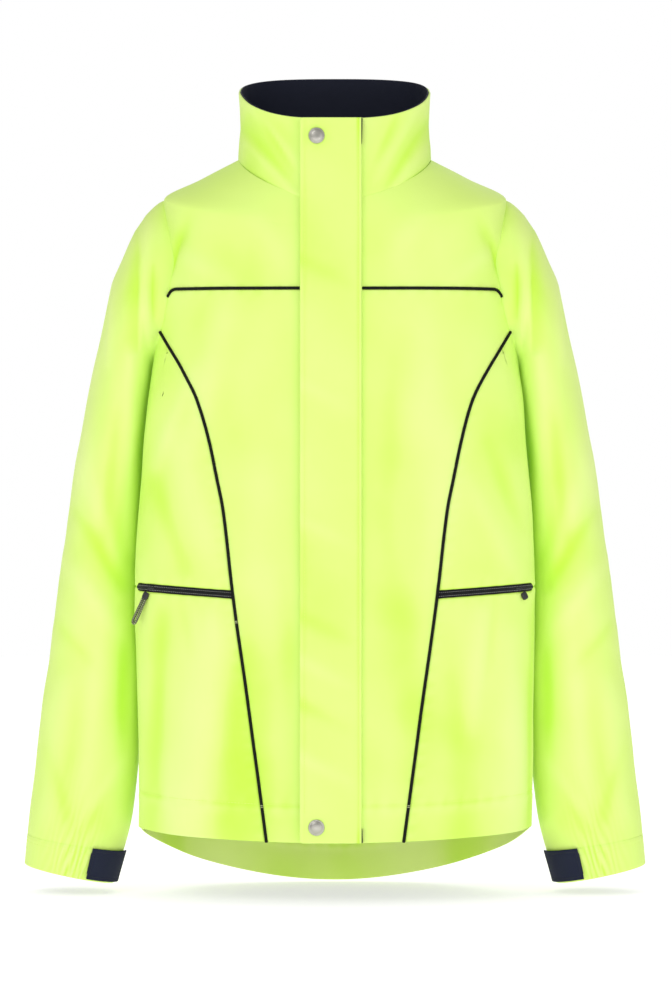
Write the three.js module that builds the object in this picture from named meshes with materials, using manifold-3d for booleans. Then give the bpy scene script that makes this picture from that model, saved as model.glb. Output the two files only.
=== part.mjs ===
// A waterproof sailing jacket, hanging from the loop in its back neck: body panels, yokes, stand
// collar, zip with storm flap, zipped pockets, sleeves and cuffs, with its linings and fastenings.
// Millimetres, +Z up, the front faces -Y, and the wearer's left is +X. Right and left in names are
// the wearer's. The jacket is drawn about its middle and then moved so that the bearing point of
// the hang loop is the origin.
import * as THREE from "three";
import { mergeVertices } from "three/addons/utils/BufferGeometryUtils.js";
import Module from "manifold-3d";

const wasm = await Module();
wasm.setup();

// ---------- driving dimensions ----------
const SHELL = 2.4; // body cloth with its laminate, and every outer panel
const LINING = 1.2;
const LINING_GAP = 5; // between the shell and the lining, where the pocket bags lie
const SEAM_GAP = 0.7; // half of the gap between two panels sewn edge to edge
const FIT = 0.4; // between pieces that rest on each other
const PIPING_R = 1.5;
const PIPING_GAP = 0.1; // between the piping and the panel edges where the curved seam leans most
const PIPING_LEAN = 0.6; // the cosine of that lean, as the gap is measured level

const HEM_Z = -346; // front hem
const HEM_SIDE_Z = -336;
const TAIL_Z = -408; // lowest point of the back
const HEM_BAND = 38; // depth of the turned-up hem
const NECK_SIDE_Z = 362;
const NECK_FRONT_Z = 312;
const NECK_BACK_Z = 380;
const NECK_HALF = 101;
const COLLAR_FRONT_Z = 397;
const COLLAR_SIDE_Z = 434;
const COLLAR_BACK_Z = 457;
const COLLAR_BACK_Y = 85;
const RIM_POWER = 1.5; // how fast the front rim's height drops from the sides
const FRONT_HEM_Y = -134; // depth of the centre front at the hem and at the collar's top
const FRONT_TOP_Y = -100;
const CHEST_HALF = 197;
const WAIST_HALF = 209;

const YOKE_Z = 223; // yoke seam
const ARMHOLE = { z: 235, halfHeight: 85, halfAngle: 0.53 };
const SIDE_SEAM = 0.16; // angle of the side seam behind the side
const SLEEVE_LENGTH = 712; // from the shoulder tip to the cuff's edge, measured down

const ZIP_X = -5;
const ZIP_OPENING = 7; // from the zip's middle to the panel edge
const TAPE = { width: 15, thick: 1, slot: 1.4 };
const CHAIN = { inner: 0.8, outer: 3.2, thick: 2.6 };
const SLIDER = { half: 5.4, length: 13, plate: 1.2, bridge: 0.5 };
const BAIL = { half: 0.7, reach: 3.6, rise: 4.4 };
const PULLER = { width: 7, length: 27, thick: 1.6 };
const GUARD = { width: 38, thick: 1.4 };
const FLAP = { hinge: 27, free: -36, proud: 5, thick: 2.4, corner: 4 };
const BINDING = { near: -3.4, far: 0.6, foot: 0.6 }; // across, from the flap's hinge line
const SNAP = { x: -19, fromTop: 19, fromHem: 16, capR: 8.3, socketR: 5.8, headR: 2.5, post: 1.7 };

const POCKET = { middle: 165, outer: 205, innerZ: -93, outerZ: -86, half: 4, tape: 1.4, park: 26 };
// The doubled pull cord's middle line below the crimp, across and down.
const PULL_CORD = {
  r: 1.5,
  route: [[-1.9, 0], [-1.9, 5], [-2, 10], [-2.1, 15], [-2.2, 19.5], [-2.2, 23.5], [-1.7, 26], [0, 27.3],
    [1.7, 26], [2.2, 23.5], [2.2, 19.5], [2.1, 15], [2, 10], [1.9, 5], [1.9, 0]],
};
const FACET_BEND = 109202.5; // square millimetres of waist for each millimetre a panel's facet sags
const BAG = { drop: 170, thick: 1.6, sag: WAIST_HALF ** 2 / FACET_BEND };

const CUFF_BAND = 25;
const TAB = { height: 25, thick: 2.2, hook: 1, loop: 1.2 };

const LOOP = { half: 27, rise: 20, wide: 6, thick: 1.4, y: 76, footZ: 371 };

const COLOUR = {
  shell: 0xe6f56f, lining: 0x1c1e28, piping: 0x14151a, zip: 0x18181c, metal: 0xa6a39a,
  tab: 0x2a2d3e, bag: 0x24262e, tape: 0x202228,
};

// ---------- small tools ----------
const lerp = (a, b, t) => a + (b - a) * t;
const clamp = (x, a, b) => Math.min(b, Math.max(a, x));

// A smooth curve through (key, value) pairs: cubic, and never past its neighbours' values.
function smooth(keys, values) {
  const n = keys.length;
  const slope = keys.slice(1).map((k, i) => (values[i + 1] - values[i]) / (k - keys[i]));
  const tangent = keys.map((_, i) => {
    if (i === 0) return slope[0];
    if (i === n - 1) return slope[n - 2];
    if (slope[i - 1] * slope[i] <= 0) return 0;
    return (2 * slope[i - 1] * slope[i]) / (slope[i - 1] + slope[i]);
  });
  return (key) => {
    let i = 0;
    while (i < n - 2 && key > keys[i + 1]) i++;
    const h = keys[i + 1] - keys[i];
    const t = (key - keys[i]) / h;
    if (t < 0) return values[0] + tangent[0] * (key - keys[0]);
    if (t > 1) return values[n - 1] + tangent[n - 1] * (key - keys[n - 1]);
    const t2 = t * t;
    const t3 = t2 * t;
    return (2 * t3 - 3 * t2 + 1) * values[i] + (t3 - 2 * t2 + t) * h * tangent[i]
      + (3 * t2 - 2 * t3) * values[i + 1] + (t3 - t2) * h * tangent[i + 1];
  };
}

function volumeOf(geometry) {
  const p = geometry.getAttribute("position");
  const index = geometry.index.array;
  const [a, b, c] = [new THREE.Vector3(), new THREE.Vector3(), new THREE.Vector3()];
  let sum = 0;
  for (let i = 0; i < index.length; i += 3) {
    a.fromBufferAttribute(p, index[i]);
    b.fromBufferAttribute(p, index[i + 1]);
    c.fromBufferAttribute(p, index[i + 2]);
    sum += a.dot(b.cross(c)) / 6;
  }
  return sum;
}

// Only positions, shared vertices merged, faces pointing out.
function closed(geometry) {
  const bare = geometry.clone();
  bare.deleteAttribute("normal");
  bare.deleteAttribute("uv");
  const merged = mergeVertices(bare, 1e-4);
  if (volumeOf(merged) < 0) {
    const index = merged.index.array;
    for (let i = 0; i < index.length; i += 3) {
      [index[i + 1], index[i + 2]] = [index[i + 2], index[i + 1]];
    }
  }
  return merged;
}

function solid(geometry) {
  const g = closed(geometry);
  return new wasm.Manifold(new wasm.Mesh({
    numProp: 3,
    vertProperties: new Float32Array(g.getAttribute("position").array),
    triVerts: new Uint32Array(g.index.array),
  }));
}

function geometryOf(manifold) {
  const m = manifold.getMesh();
  const g = new THREE.BufferGeometry();
  const xyz = new Float32Array(m.numVert * 3);
  for (let i = 0; i < m.numVert; i++) {
    xyz.set(m.vertProperties.subarray(i * m.numProp, i * m.numProp + 3), i * 3);
  }
  g.setAttribute("position", new THREE.BufferAttribute(xyz, 3));
  g.setIndex(new THREE.BufferAttribute(new Uint32Array(m.triVerts), 1));
  return g;
}

function piece(name, geometry, colour, roughness = 0.85, metalness = 0) {
  const material = new THREE.MeshStandardMaterial({ color: colour, roughness, metalness });
  const mesh = new THREE.Mesh(geometry, material);
  mesh.name = name;
  return mesh;
}

// A box of cols x rows cells bent so that its (s, t, d) in 0..1 land where place says.
function bent(cols, rows, place) {
  const g = new THREE.BoxGeometry(1, 1, 1, cols, rows, 1);
  const p = g.getAttribute("position");
  for (let i = 0; i < p.count; i++) {
    const q = place(p.getX(i) + 0.5, p.getY(i) + 0.5, p.getZ(i) + 0.5);
    p.setXYZ(i, q.x, q.y, q.z);
  }
  return closed(g);
}

// A wall turned all the way round: place(turn, t, d) for a closed profile of rows cells.
function ringWall(around, rows, place) {
  const profile = [];
  for (let i = 0; i <= rows; i++) profile.push(new THREE.Vector2(2, i / rows));
  for (let i = rows; i >= 0; i--) profile.push(new THREE.Vector2(1, i / rows));
  profile.push(profile[0].clone());
  const g = new THREE.LatheGeometry(profile, around);
  const p = g.getAttribute("position");
  for (let i = 0; i < p.count; i++) {
    const turn = Math.atan2(p.getX(i), p.getZ(i));
    const depth = 2 - Math.hypot(p.getX(i), p.getZ(i));
    const q = place(Math.abs(turn + Math.PI) < 1e-6 ? Math.PI : turn, p.getY(i), depth);
    p.setXYZ(i, q.x, q.y, q.z);
  }
  return closed(g);
}

function block(x0, x1, y0, y1, z0, z1) {
  const g = new THREE.BoxGeometry(x1 - x0, y1 - y0, z1 - z0);
  return g.translate((x0 + x1) / 2, (y0 + y1) / 2, (z0 + z1) / 2);
}

function turned(points, around = 16) {
  const profile = points.map(([r, h]) => new THREE.Vector2(r, h));
  return new THREE.LatheGeometry(profile, around).rotateX(Math.PI / 2);
}

function tube(points, r, steps, sides = 6) {
  const ring = new THREE.Shape();
  for (let i = 0; i < sides; i++) {
    const a = (i / sides) * 2 * Math.PI;
    if (i === 0) ring.moveTo(r * Math.cos(a), r * Math.sin(a));
    else ring.lineTo(r * Math.cos(a), r * Math.sin(a));
  }
  ring.closePath();
  const path = new THREE.CatmullRomCurve3(points, false, "centripetal");
  return closed(new THREE.ExtrudeGeometry(ring, { steps, extrudePath: path, bevelEnabled: false }));
}

// ---------- the body's surface ----------
// v is the height at the side. Rings are level below the yoke and tilt to the neck's slope above
// it. turn is 0 at the wearer's left side, -PI/2 at the front and PI/2 at the back.
const frontY = (z) => lerp(FRONT_HEM_Y, FRONT_TOP_Y, (z - HEM_Z) / (COLLAR_FRONT_Z - HEM_Z));
const LEVEL = [TAIL_Z, HEM_Z, -250, -84, 100, 150, 235, 271, 320, 342, NECK_SIDE_Z];
const halfWidth = smooth(LEVEL, [
  204, 205, 206, WAIST_HALF, CHEST_HALF, 191, 184, 180, 180, 140, NECK_HALF,
]);
const backY = smooth(LEVEL, [119, 118, 115, 112, 118, 116, 110, 108, 106, 98, 88]);
const middleY = smooth(LEVEL, [-38, -38, -38, -40, -36, -28, -8, -5, -4, -6, -8]);
const frontZ = smooth(LEVEL, [TAIL_Z, HEM_Z, -250, -84, 100, 150, 232, 258, 286, 300, NECK_FRONT_Z]);
const backZ = smooth(LEVEL, [TAIL_Z, HEM_Z, -250, -84, 100, 150, 238, 278, 332, 358, NECK_BACK_Z]);
const power = smooth(LEVEL, [2.35, 2.35, 2.35, 2.4, 2.5, 2.6, 2.8, 2.8, 2.8, 2.8, 2.8]);

// A superellipse by its polar angle: |x|^n + |y|^n = 1.
function squircle(turn, n) {
  const c = Math.cos(turn);
  const s = Math.sin(turn);
  const k = (Math.abs(c) ** n + Math.abs(s) ** n) ** (-1 / n);
  return [k * c, k * s];
}

function bodySurface(turn, v) {
  const [x, y] = squircle(turn, power(v));
  const front = y < 0;
  const reach = front ? middleY(v) - frontY(frontZ(v)) : backY(v) - middleY(v);
  const z = v + ((front ? frontZ(v) : backZ(v)) - v) * Math.sin(turn) ** 2;
  return new THREE.Vector3(halfWidth(v) * x, middleY(v) + reach * y, z);
}

// The collar stands on the neck ring and narrows a little; h is 0 at the neck and 1 at the top.
function collarSurface(turn, h) {
  const low = bodySurface(turn, NECK_SIDE_Z);
  const [x, y] = squircle(turn, 2.8);
  const middle = middleY(NECK_SIDE_Z);
  const front = y < 0;
  const topZ = front ? COLLAR_FRONT_Z : COLLAR_BACK_Z;
  const reach = front ? middle - FRONT_TOP_Y : COLLAR_BACK_Y - middle;
  const top = new THREE.Vector3(
    (NECK_HALF - 1) * x, middle + reach * y,
    lerp(COLLAR_SIDE_Z, topZ, Math.abs(y) ** (front ? RIM_POWER : 1)),
  );
  return low.lerp(top, h);
}

// A point that lies depth under a surface, whose turn runs round and whose height runs up.
function under(surface, turn, height, depth, rise = 0.5) {
  const STEP = 2e-3;
  const along = surface(turn + STEP, height).sub(surface(turn - STEP, height));
  const up = surface(turn, height + rise).sub(surface(turn, height - rise));
  return surface(turn, height).addScaledVector(along.cross(up).normalize(), -depth);
}

const body = (turn, v, depth) => under(bodySurface, turn, v, depth);
const collar = (turn, h, depth) => under(collarSurface, turn, h, depth, 0.01);

// The angle in front of the side at which the body is x from its middle plane.
function angleAt(x, v) {
  const share = clamp(x / halfWidth(v), 0, 1);
  return -Math.atan2((1 - share ** power(v)) ** (1 / power(v)), share);
}

const ARM_TOP = ARMHOLE.z + ARMHOLE.halfHeight;

function armholeAngle(v) {
  const h = (v - ARMHOLE.z) / ARMHOLE.halfHeight;
  return ARMHOLE.halfAngle * Math.sqrt(Math.max(0, 1 - h * h));
}

function armholeLow(a) {
  const h = a / ARMHOLE.halfAngle;
  return ARMHOLE.z - ARMHOLE.halfHeight * Math.sqrt(Math.max(0, 1 - h * h));
}

const princessX = smooth(
  [HEM_Z, -200, -95, -5, 25, 67, 108, 141, 172],
  [70, 90, 104.5, 115, 121, 130, 142, 159, 178],
);
const princess = (v) => angleAt(princessX(v), v);
const tail = (a) => lerp(HEM_SIDE_Z, TAIL_Z, Math.max(0, Math.sin(a)) ** 1.5);
const hem = (a) => (a < 0 ? lerp(HEM_SIDE_Z, HEM_Z, Math.sin(a) ** 2) : tail(a));

// The pocket zip is a circular arc in a slightly tilted plane, through three points of the front.
const POCKET_V = (POCKET.innerZ + POCKET.outerZ) / 2;

const pocketInner = princessX(POCKET.innerZ);
const pocketHeight = (x) => (
  lerp(POCKET.innerZ, POCKET.outerZ, clamp((x - pocketInner) / (POCKET.outer - pocketInner), -0.1, 1.1))
);
const pocketZ = (a) => pocketHeight(halfWidth(POCKET_V) * squircle(a, power(POCKET_V))[0]);

// ---------- panels ----------
// Seams are given for the wearer's left: left and right give the angle at a height, low and high
// the height at an angle, and each edge stands back from its seam by its own gap.
function edgeHeight(o, edge, t) {
  let [from, to] = [TAIL_Z - 30, NECK_BACK_Z + 30];
  for (let i = 0; i < 40; i++) {
    const v = (from + to) / 2;
    const a = edge(v);
    if (v < lerp(o.low(a) + o.gapLow, o.high(a) - o.gapHigh, t)) from = v;
    else to = v;
  }
  return (from + to) / 2;
}

function radianLength(a, v) {
  const STEP = 0.01;
  return bodySurface(a + STEP, v).distanceTo(bodySurface(a - STEP, v)) / (2 * STEP);
}

// Rows of cells crowd below the shoulder tip, where the armhole's edge turns over, and one is on it.
function crowded(rows, low, high) {
  const tip = (ARM_TOP - low) / (high - low);
  const onTip = Math.round(tip * rows) / rows;
  return (t) => (
    t < onTip ? tip * Math.sin((t / onTip) * Math.PI / 2) : lerp(tip, 1, (t - onTip) / (1 - onTip))
  );
}

function panel(side, options) {
  const o = {
    depth: 0, thick: SHELL, gapLeft: 0, gapRight: 0, gapLow: 0, gapHigh: 0, warp: (t) => t, ...options,
  };
  const rows = new Map();
  const row = (t) => {
    if (!rows.has(t)) {
      const [vl, vr] = [edgeHeight(o, o.left, t), edgeHeight(o, o.right, t)];
      const [al, ar] = [o.left(vl), o.right(vr)];
      rows.set(t, [al + o.gapLeft / radianLength(al, vl), ar - o.gapRight / radianLength(ar, vr)]);
    }
    return rows.get(t);
  };
  return bent(o.cols, o.rows, (s, even, d) => {
    const t = o.warp(even);
    const [al, ar] = row(t);
    const a = lerp(al, ar, s);
    const v = lerp(o.low(a) + o.gapLow, o.high(a) - o.gapHigh, t);
    return body(side > 0 ? a : Math.PI - a, v, o.depth + (1 - d) * o.thick);
  });
}

const PIPED = PIPING_R / PIPING_LEAN + PIPING_GAP;
const level = (z) => () => z;
const zipEdge = (side, room) => (v) => angleAt(Math.max(side * ZIP_X + room, 0.5), v);
const SEAM_MEETS = 179; // where the curved seam reaches the armhole
const frontOuter = (v) => (v < SEAM_MEETS ? princess(v) : -armholeAngle(v));
const yokeOuter = (v) => (v < ARM_TOP ? -armholeAngle(v) : 0);
const backOuter = (v) => {
  if (v < ARMHOLE.z) return Math.max(SIDE_SEAM, armholeAngle(v));
  return v < ARM_TOP ? armholeAngle(v) : 0;
};
const BACK_YOKE_Z = 246;
const acrossBack = { left: backOuter, right: (v) => Math.PI - backOuter(v) };
const mirrored = (f) => (a) => f(a > Math.PI / 2 ? Math.PI - a : a);

function sidePanels(side, word) {
  const seam = level(SIDE_SEAM);
  const edge = POCKET.half + SEAM_GAP;
  const zipSide = zipEdge(side, ZIP_OPENING);
  return [
    piece(`front_panel_${word}`, panel(side, {
      left: zipSide, right: frontOuter, low: hem, high: level(YOKE_Z), cols: 5, rows: 18,
      gapRight: PIPED, gapHigh: PIPED,
    }), COLOUR.shell),
    piece(`side_panel_upper_${word}`, panel(side, {
      left: princess, right: seam, low: pocketZ, high: armholeLow, cols: 8, rows: 8,
      gapLeft: PIPED, gapRight: SEAM_GAP, gapLow: edge, gapHigh: SEAM_GAP,
    }), COLOUR.shell),
    piece(`side_panel_lower_${word}`, panel(side, {
      left: princess, right: seam, low: hem, high: pocketZ, cols: 8, rows: 8,
      gapLeft: PIPED, gapRight: SEAM_GAP, gapHigh: edge,
    }), COLOUR.shell),
    piece(`front_yoke_${word}`, panel(side, {
      left: zipSide, right: yokeOuter, low: level(YOKE_Z), high: level(NECK_SIDE_Z), cols: 7, rows: 11,
      gapRight: SEAM_GAP, gapLow: PIPED, gapHigh: SEAM_GAP,
      warp: crowded(11, YOKE_Z + PIPED, NECK_SIDE_Z - SEAM_GAP),
    }), COLOUR.shell),
    piece(`lining_front_${word}`, panel(side, {
      left: zipEdge(side, GUARD.width / 2 + 2), right: (v) => (v < ARMHOLE.z - 80 ? SIDE_SEAM : yokeOuter(v)),
      low: (a) => hem(a) + HEM_BAND, high: level(NECK_SIDE_Z), cols: 7, rows: 13,
      gapRight: 2, gapHigh: 2, depth: SHELL + LINING_GAP, thick: LINING,
      warp: crowded(13, HEM_SIDE_Z + HEM_BAND, NECK_SIDE_Z - 2),
    }), COLOUR.lining),
    piece(`pocket_bag_${word}`, panel(side, {
      left: (v) => princess(v) - 0.05, right: level(-0.12),
      low: (a) => pocketZ(a) - BAG.drop, high: pocketZ, cols: 6, rows: 6,
      gapHigh: POCKET.half + 3, depth: SHELL + FIT + BAG.sag, thick: BAG.thick,
    }), COLOUR.bag),
  ];
}

function backPanels() {
  return [
    piece("back_panel", panel(1, {
      ...acrossBack, low: mirrored(hem), high: level(BACK_YOKE_Z), cols: 16, rows: 12,
      gapLeft: SEAM_GAP, gapRight: SEAM_GAP, gapHigh: SEAM_GAP,
    }), COLOUR.shell),
    piece("back_yoke", panel(1, {
      ...acrossBack, low: level(BACK_YOKE_Z), high: level(NECK_SIDE_Z), cols: 16, rows: 10,
      gapLeft: SEAM_GAP, gapRight: SEAM_GAP, gapLow: SEAM_GAP, gapHigh: SEAM_GAP,
      warp: crowded(10, BACK_YOKE_Z + SEAM_GAP, NECK_SIDE_Z - SEAM_GAP),
    }), COLOUR.shell),
    piece("lining_back", panel(1, {
      ...acrossBack, low: (a) => mirrored(hem)(a) + HEM_BAND, high: level(NECK_SIDE_Z),
      cols: 14, rows: 12, gapLeft: 2, gapRight: 2, gapHigh: 2,
      depth: SHELL + LINING_GAP, thick: LINING,
      warp: crowded(12, HEM_SIDE_Z + HEM_BAND, NECK_SIDE_Z - 2),
    }), COLOUR.lining),
  ];
}

// Each layer of the collar is open at the zip and runs round the back from edge to edge.
function collarLayer(depth, thick, room, low, high) {
  const from = angleAt(ZIP_X + room, NECK_SIDE_Z);
  const to = Math.PI - angleAt(-ZIP_X + room, NECK_SIDE_Z);
  return bent(26, 3, (s, t, d) => (
    collar(lerp(from, to, s), lerp(low, high, t), depth + (1 - d) * thick)
  ));
}

function collarPieces() {
  return [
    piece("collar_shell", collarLayer(0, SHELL, ZIP_OPENING, 0.02, 1), COLOUR.shell),
    piece("collar_lining", collarLayer(SHELL + 1.8, LINING, GUARD.width / 2 + 2, 0, 0.985), COLOUR.lining),
  ];
}

// Piping lies in the gap of its seam, its middle a little under the cloth.
const PIPING_DEPTH = 0.5;

function pipings(side, word) {
  const at = (a, v) => body(side > 0 ? a : Math.PI - a, v, PIPING_DEPTH);
  const top = edgeHeight({ low: hem, high: armholeLow, gapLow: 0, gapHigh: 3 }, princess, 1);
  const princessPoints = [];
  const STEPS = 18;
  for (let i = 0; i <= STEPS; i++) {
    const v = lerp(hem(princess(HEM_Z)) + 1, top, i / STEPS);
    princessPoints.push(at(princess(v), v));
  }
  const yokePoints = [];
  const [from, to] = [angleAt(yokeStart(side), YOKE_Z), -armholeAngle(YOKE_Z) - 0.02];
  for (let i = 0; i <= 8; i++) yokePoints.push(at(lerp(from, to, i / 8), YOKE_Z));
  return [
    piece(`princess_piping_${word}`, tube(princessPoints, PIPING_R, STEPS), COLOUR.piping, 0.6),
    piece(`yoke_piping_${word}`, tube(yokePoints, PIPING_R, 8), COLOUR.piping, 0.6),
  ];
}

const yokeStart = (side) => (side > 0 ? FLAP.hinge + BINDING.far + PIPING_R + FIT : ZIP_OPENING - ZIP_X + 2);

// ---------- a group whose pieces are drawn in its own axes ----------
function groupAt(origin, x, z, name = "") {
  const g = new THREE.Group();
  const y = new THREE.Vector3().crossVectors(z, x);
  g.quaternion.setFromRotationMatrix(new THREE.Matrix4().makeBasis(x, y, z));
  g.position.copy(origin);
  g.name = name;
  return g;
}

function inside(group, ...children) {
  children.flat().forEach((c) => group.add(c));
  return group;
}

// A joint's group stands at its pivot inside a parent group, and its pieces keep the parent's axes.
function pivot(name, at, ...children) {
  const g = new THREE.Group();
  g.name = name;
  g.position.copy(at);
  const back = new THREE.Group();
  back.position.copy(at).negate();
  inside(back, ...children);
  return inside(g, back);
}

// ---------- centre front: x across, y up the straight front line, z out of the cloth ----------
const hemPoint = new THREE.Vector3(0, FRONT_HEM_Y, HEM_Z);
const topPoint = new THREE.Vector3(0, FRONT_TOP_Y, COLLAR_FRONT_Z);
const upFront = topPoint.clone().sub(hemPoint).normalize();
const FRONT_LENGTH = topPoint.distanceTo(hemPoint);
const outFront = new THREE.Vector3(1, 0, 0).cross(upFront);
const TAPE_Z = -(SHELL + 1.3);
const CHAIN_END = 12; // bare tape at each end of the chain
const EYE_DROP = 2.8; // from the puller's end to the eye that the slider's bail passes through

function zipPieces(side, word) {
  const x = (near, far) => [ZIP_X + side * near, ZIP_X + side * far].sort((a, b) => a - b);
  const [t0, t1] = x(TAPE.slot, TAPE.width);
  const [c0, c1] = x(CHAIN.inner, CHAIN.outer);
  const front = TAPE_Z + FIT + CHAIN.thick;
  return [
    piece(`zip_tape_${word}`, block(t0, t1, 2, FRONT_LENGTH - 4, TAPE_Z - TAPE.thick, TAPE_Z), COLOUR.tape),
    piece(`zip_chain_${word}`, block(c0, c1, CHAIN_END, FRONT_LENGTH - CHAIN_END, TAPE_Z + FIT, front),
      COLOUR.zip, 0.45),
  ];
}

// Front plate, back plate and the bridge between them, which runs in the gap of the chain.
function sliderSolid(gapDepth, half, length) {
  const { plate, bridge } = SLIDER;
  const faceShape = new THREE.Shape();
  faceShape.moveTo(-half * 0.72, -length / 2);
  faceShape.lineTo(half * 0.72, -length / 2);
  faceShape.lineTo(half, length * 0.2);
  faceShape.quadraticCurveTo(half * 0.9, length / 2, 0, length / 2);
  faceShape.quadraticCurveTo(-half * 0.9, length / 2, -half, length * 0.2);
  faceShape.closePath();
  const face = new THREE.ExtrudeGeometry(faceShape, { depth: plate, bevelEnabled: false, curveSegments: 5 });
  const back = face.clone().translate(0, 0, -gapDepth - plate);
  const web = block(-bridge, bridge, -length * 0.35, length * 0.35, -gapDepth - plate / 2, plate / 2);
  const posts = [-BAIL.reach, BAIL.reach].map((y) => (
    block(-BAIL.half, BAIL.half, y - BAIL.half, y + BAIL.half, plate / 2, BAIL.rise)
  ));
  const bar = block(-BAIL.half, BAIL.half, -BAIL.reach - BAIL.half, BAIL.reach + BAIL.half,
    BAIL.rise - 0.8, BAIL.rise);
  return [web, back, bar, ...posts].reduce((sum, part) => sum.add(solid(part)), solid(face));
}

function mainSlider() {
  const chainFront = TAPE_Z + FIT + CHAIN.thick;
  const base = chainFront + FIT;
  const gapDepth = base - (TAPE_Z - TAPE.thick - FIT);
  const y = FRONT_LENGTH - CHAIN_END - SLIDER.length;
  const bodyGeometry = geometryOf(sliderSolid(gapDepth, SLIDER.half, SLIDER.length));
  const slider = piece("main_slider", bodyGeometry, COLOUR.zip, 0.4, 0.6);
  slider.position.set(ZIP_X, y, base);
  const shape = new THREE.Shape();
  const w = PULLER.width / 2;
  shape.moveTo(-w * 0.9, 0);
  shape.lineTo(-w, -PULLER.length + w);
  shape.quadraticCurveTo(-w, -PULLER.length, 0, -PULLER.length);
  shape.quadraticCurveTo(w, -PULLER.length, w, -PULLER.length + w);
  shape.lineTo(w * 0.9, 0);
  shape.closePath();
  const eye = new THREE.Path();
  eye.absarc(0, -EYE_DROP, BAIL.half + 0.9, 0, 2 * Math.PI, true);
  shape.holes.push(eye);
  const plate = new THREE.ExtrudeGeometry(shape, {
    depth: PULLER.thick, bevelEnabled: false, curveSegments: 6,
  });
  const puller = piece("main_puller", closed(plate), COLOUR.zip, 0.4, 0.6);
  puller.position.set(ZIP_X, y - BAIL.reach + EYE_DROP, base + SLIDER.plate + FIT);
  return pivot("main_slider_travel", new THREE.Vector3(ZIP_X, y, base), slider, puller);
}

function flapShape() {
  const { hinge, free, corner } = FLAP;
  const [low, high] = [0, FRONT_LENGTH];
  const s = new THREE.Shape();
  s.moveTo(free + corner, low);
  s.lineTo(hinge, low);
  s.lineTo(hinge, high);
  s.lineTo(free + corner, high);
  s.absarc(free + corner, high - corner, corner, Math.PI / 2, Math.PI, false);
  s.absarc(free + corner, low + corner, corner, Math.PI, 1.5 * Math.PI, false);
  return s;
}

const snapRows = { hem: SNAP.fromHem, top: FRONT_LENGTH - SNAP.fromTop };

// The stud stands on the front; the socket and the cap close on the flap through its hole.
function snapStud(word) {
  const { headR, post } = SNAP;
  const top = FLAP.proud - 0.6;
  const g = turned([[0, 0], [5.4, 0], [5.4, 0.7], [post, 0.9], [post, top - 1.4], [headR, top - 0.8],
    [headR - 0.6, top], [0, top]]);
  const mesh = piece(`snap_stud_${word}`, closed(g), COLOUR.metal, 0.35, 1);
  mesh.position.set(SNAP.x, snapRows[word], FIT);
  return mesh;
}

function snapOnFlap(word) {
  const { socketR, headR, capR, post } = SNAP;
  const inner = headR + 0.6;
  const low = FLAP.proud - 2.9;
  const socket = turned([[inner, low], [socketR - 0.5, low], [socketR, low + 0.5],
    [socketR, FLAP.proud - FIT], [inner, FLAP.proud - FIT], [inner, low]]);
  const top = FLAP.proud + FLAP.thick + FIT;
  const cap = turned([[0, FLAP.proud + 0.3], [post, FLAP.proud + 0.3], [post, top], [capR - 1, top],
    [capR, top + 0.6], [capR - 0.9, top + 1.5], [capR * 0.5, top + 2.2], [0, top + 2.4]], 20);
  const meshes = [
    piece(`snap_socket_${word}`, closed(socket), COLOUR.metal, 0.35, 1),
    piece(`snap_cap_${word}`, closed(cap), COLOUR.metal, 0.45, 1),
  ];
  meshes.forEach((m) => m.position.set(SNAP.x, snapRows[word], 0));
  return meshes;
}

function stormFlap() {
  const options = { depth: FLAP.thick, bevelEnabled: false, curveSegments: 4 };
  let cloth = solid(new THREE.ExtrudeGeometry(flapShape(), options).translate(0, 0, FLAP.proud));
  Object.values(snapRows).forEach((y) => {
    const hole = new THREE.CylinderGeometry(SNAP.post + FIT, SNAP.post + FIT, 10, 12)
      .rotateX(Math.PI / 2).translate(SNAP.x, y, FLAP.proud + FLAP.thick / 2);
    cloth = cloth.subtract(solid(hole));
  });
  const flap = piece("storm_flap", geometryOf(cloth), COLOUR.shell);
  const at = new THREE.Vector3(FLAP.hinge, FRONT_LENGTH / 2, FLAP.proud + FLAP.thick / 2);
  return pivot("storm_flap_swing", at, flap, snapOnFlap("top"), snapOnFlap("hem"));
}

// The strip of binding under the flap's sewn edge, which stands on the left front and carries it.
function flapBinding() {
  const g = bent(2, 14, (s, t, d) => {
    const z = lerp(BINDING.foot, FLAP.proud - FIT, d);
    const x = FLAP.hinge + lerp(BINDING.near, BINDING.far, s);
    return new THREE.Vector3(x, lerp(4, FRONT_LENGTH - 4, t), z);
  });
  return piece("flap_binding", g, COLOUR.shell);
}

function centreFront() {
  const g = groupAt(hemPoint, new THREE.Vector3(1, 0, 0), outFront, "centre_front");
  const guardZ = -(SHELL + LINING_GAP + 0.6);
  const guard = block(ZIP_X - GUARD.width / 2, ZIP_X + GUARD.width / 2, 4, FRONT_LENGTH - 10,
    guardZ - GUARD.thick, guardZ);
  const boxX = CHAIN.outer - 0.4;
  const boxTop = TAPE_Z + FIT + CHAIN.thick;
  const zipBox = block(ZIP_X - boxX, ZIP_X + boxX, 2, CHAIN_END - 2, TAPE_Z + FIT, boxTop);
  return inside(g,
    zipPieces(-1, "right"), zipPieces(1, "left"), mainSlider(), stormFlap(), flapBinding(),
    snapStud("top"), snapStud("hem"),
    piece("zip_guard", guard, COLOUR.lining),
    piece("zip_box", zipBox, COLOUR.zip, 0.4, 0.3));
}

// ---------- pocket zips: local x is out along the radius, z along the arc's axis ----------
function circleThrough(a, b, c) {
  const ab = b.clone().sub(a);
  const ac = c.clone().sub(a);
  const n = ab.clone().cross(ac);
  const toCentre = n.clone().cross(ab).multiplyScalar(ac.lengthSq())
    .add(ac.clone().cross(n).multiplyScalar(ab.lengthSq()))
    .divideScalar(2 * n.lengthSq());
  return { centre: a.clone().add(toCentre), radius: toCentre.length(), normal: n.normalize() };
}

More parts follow.
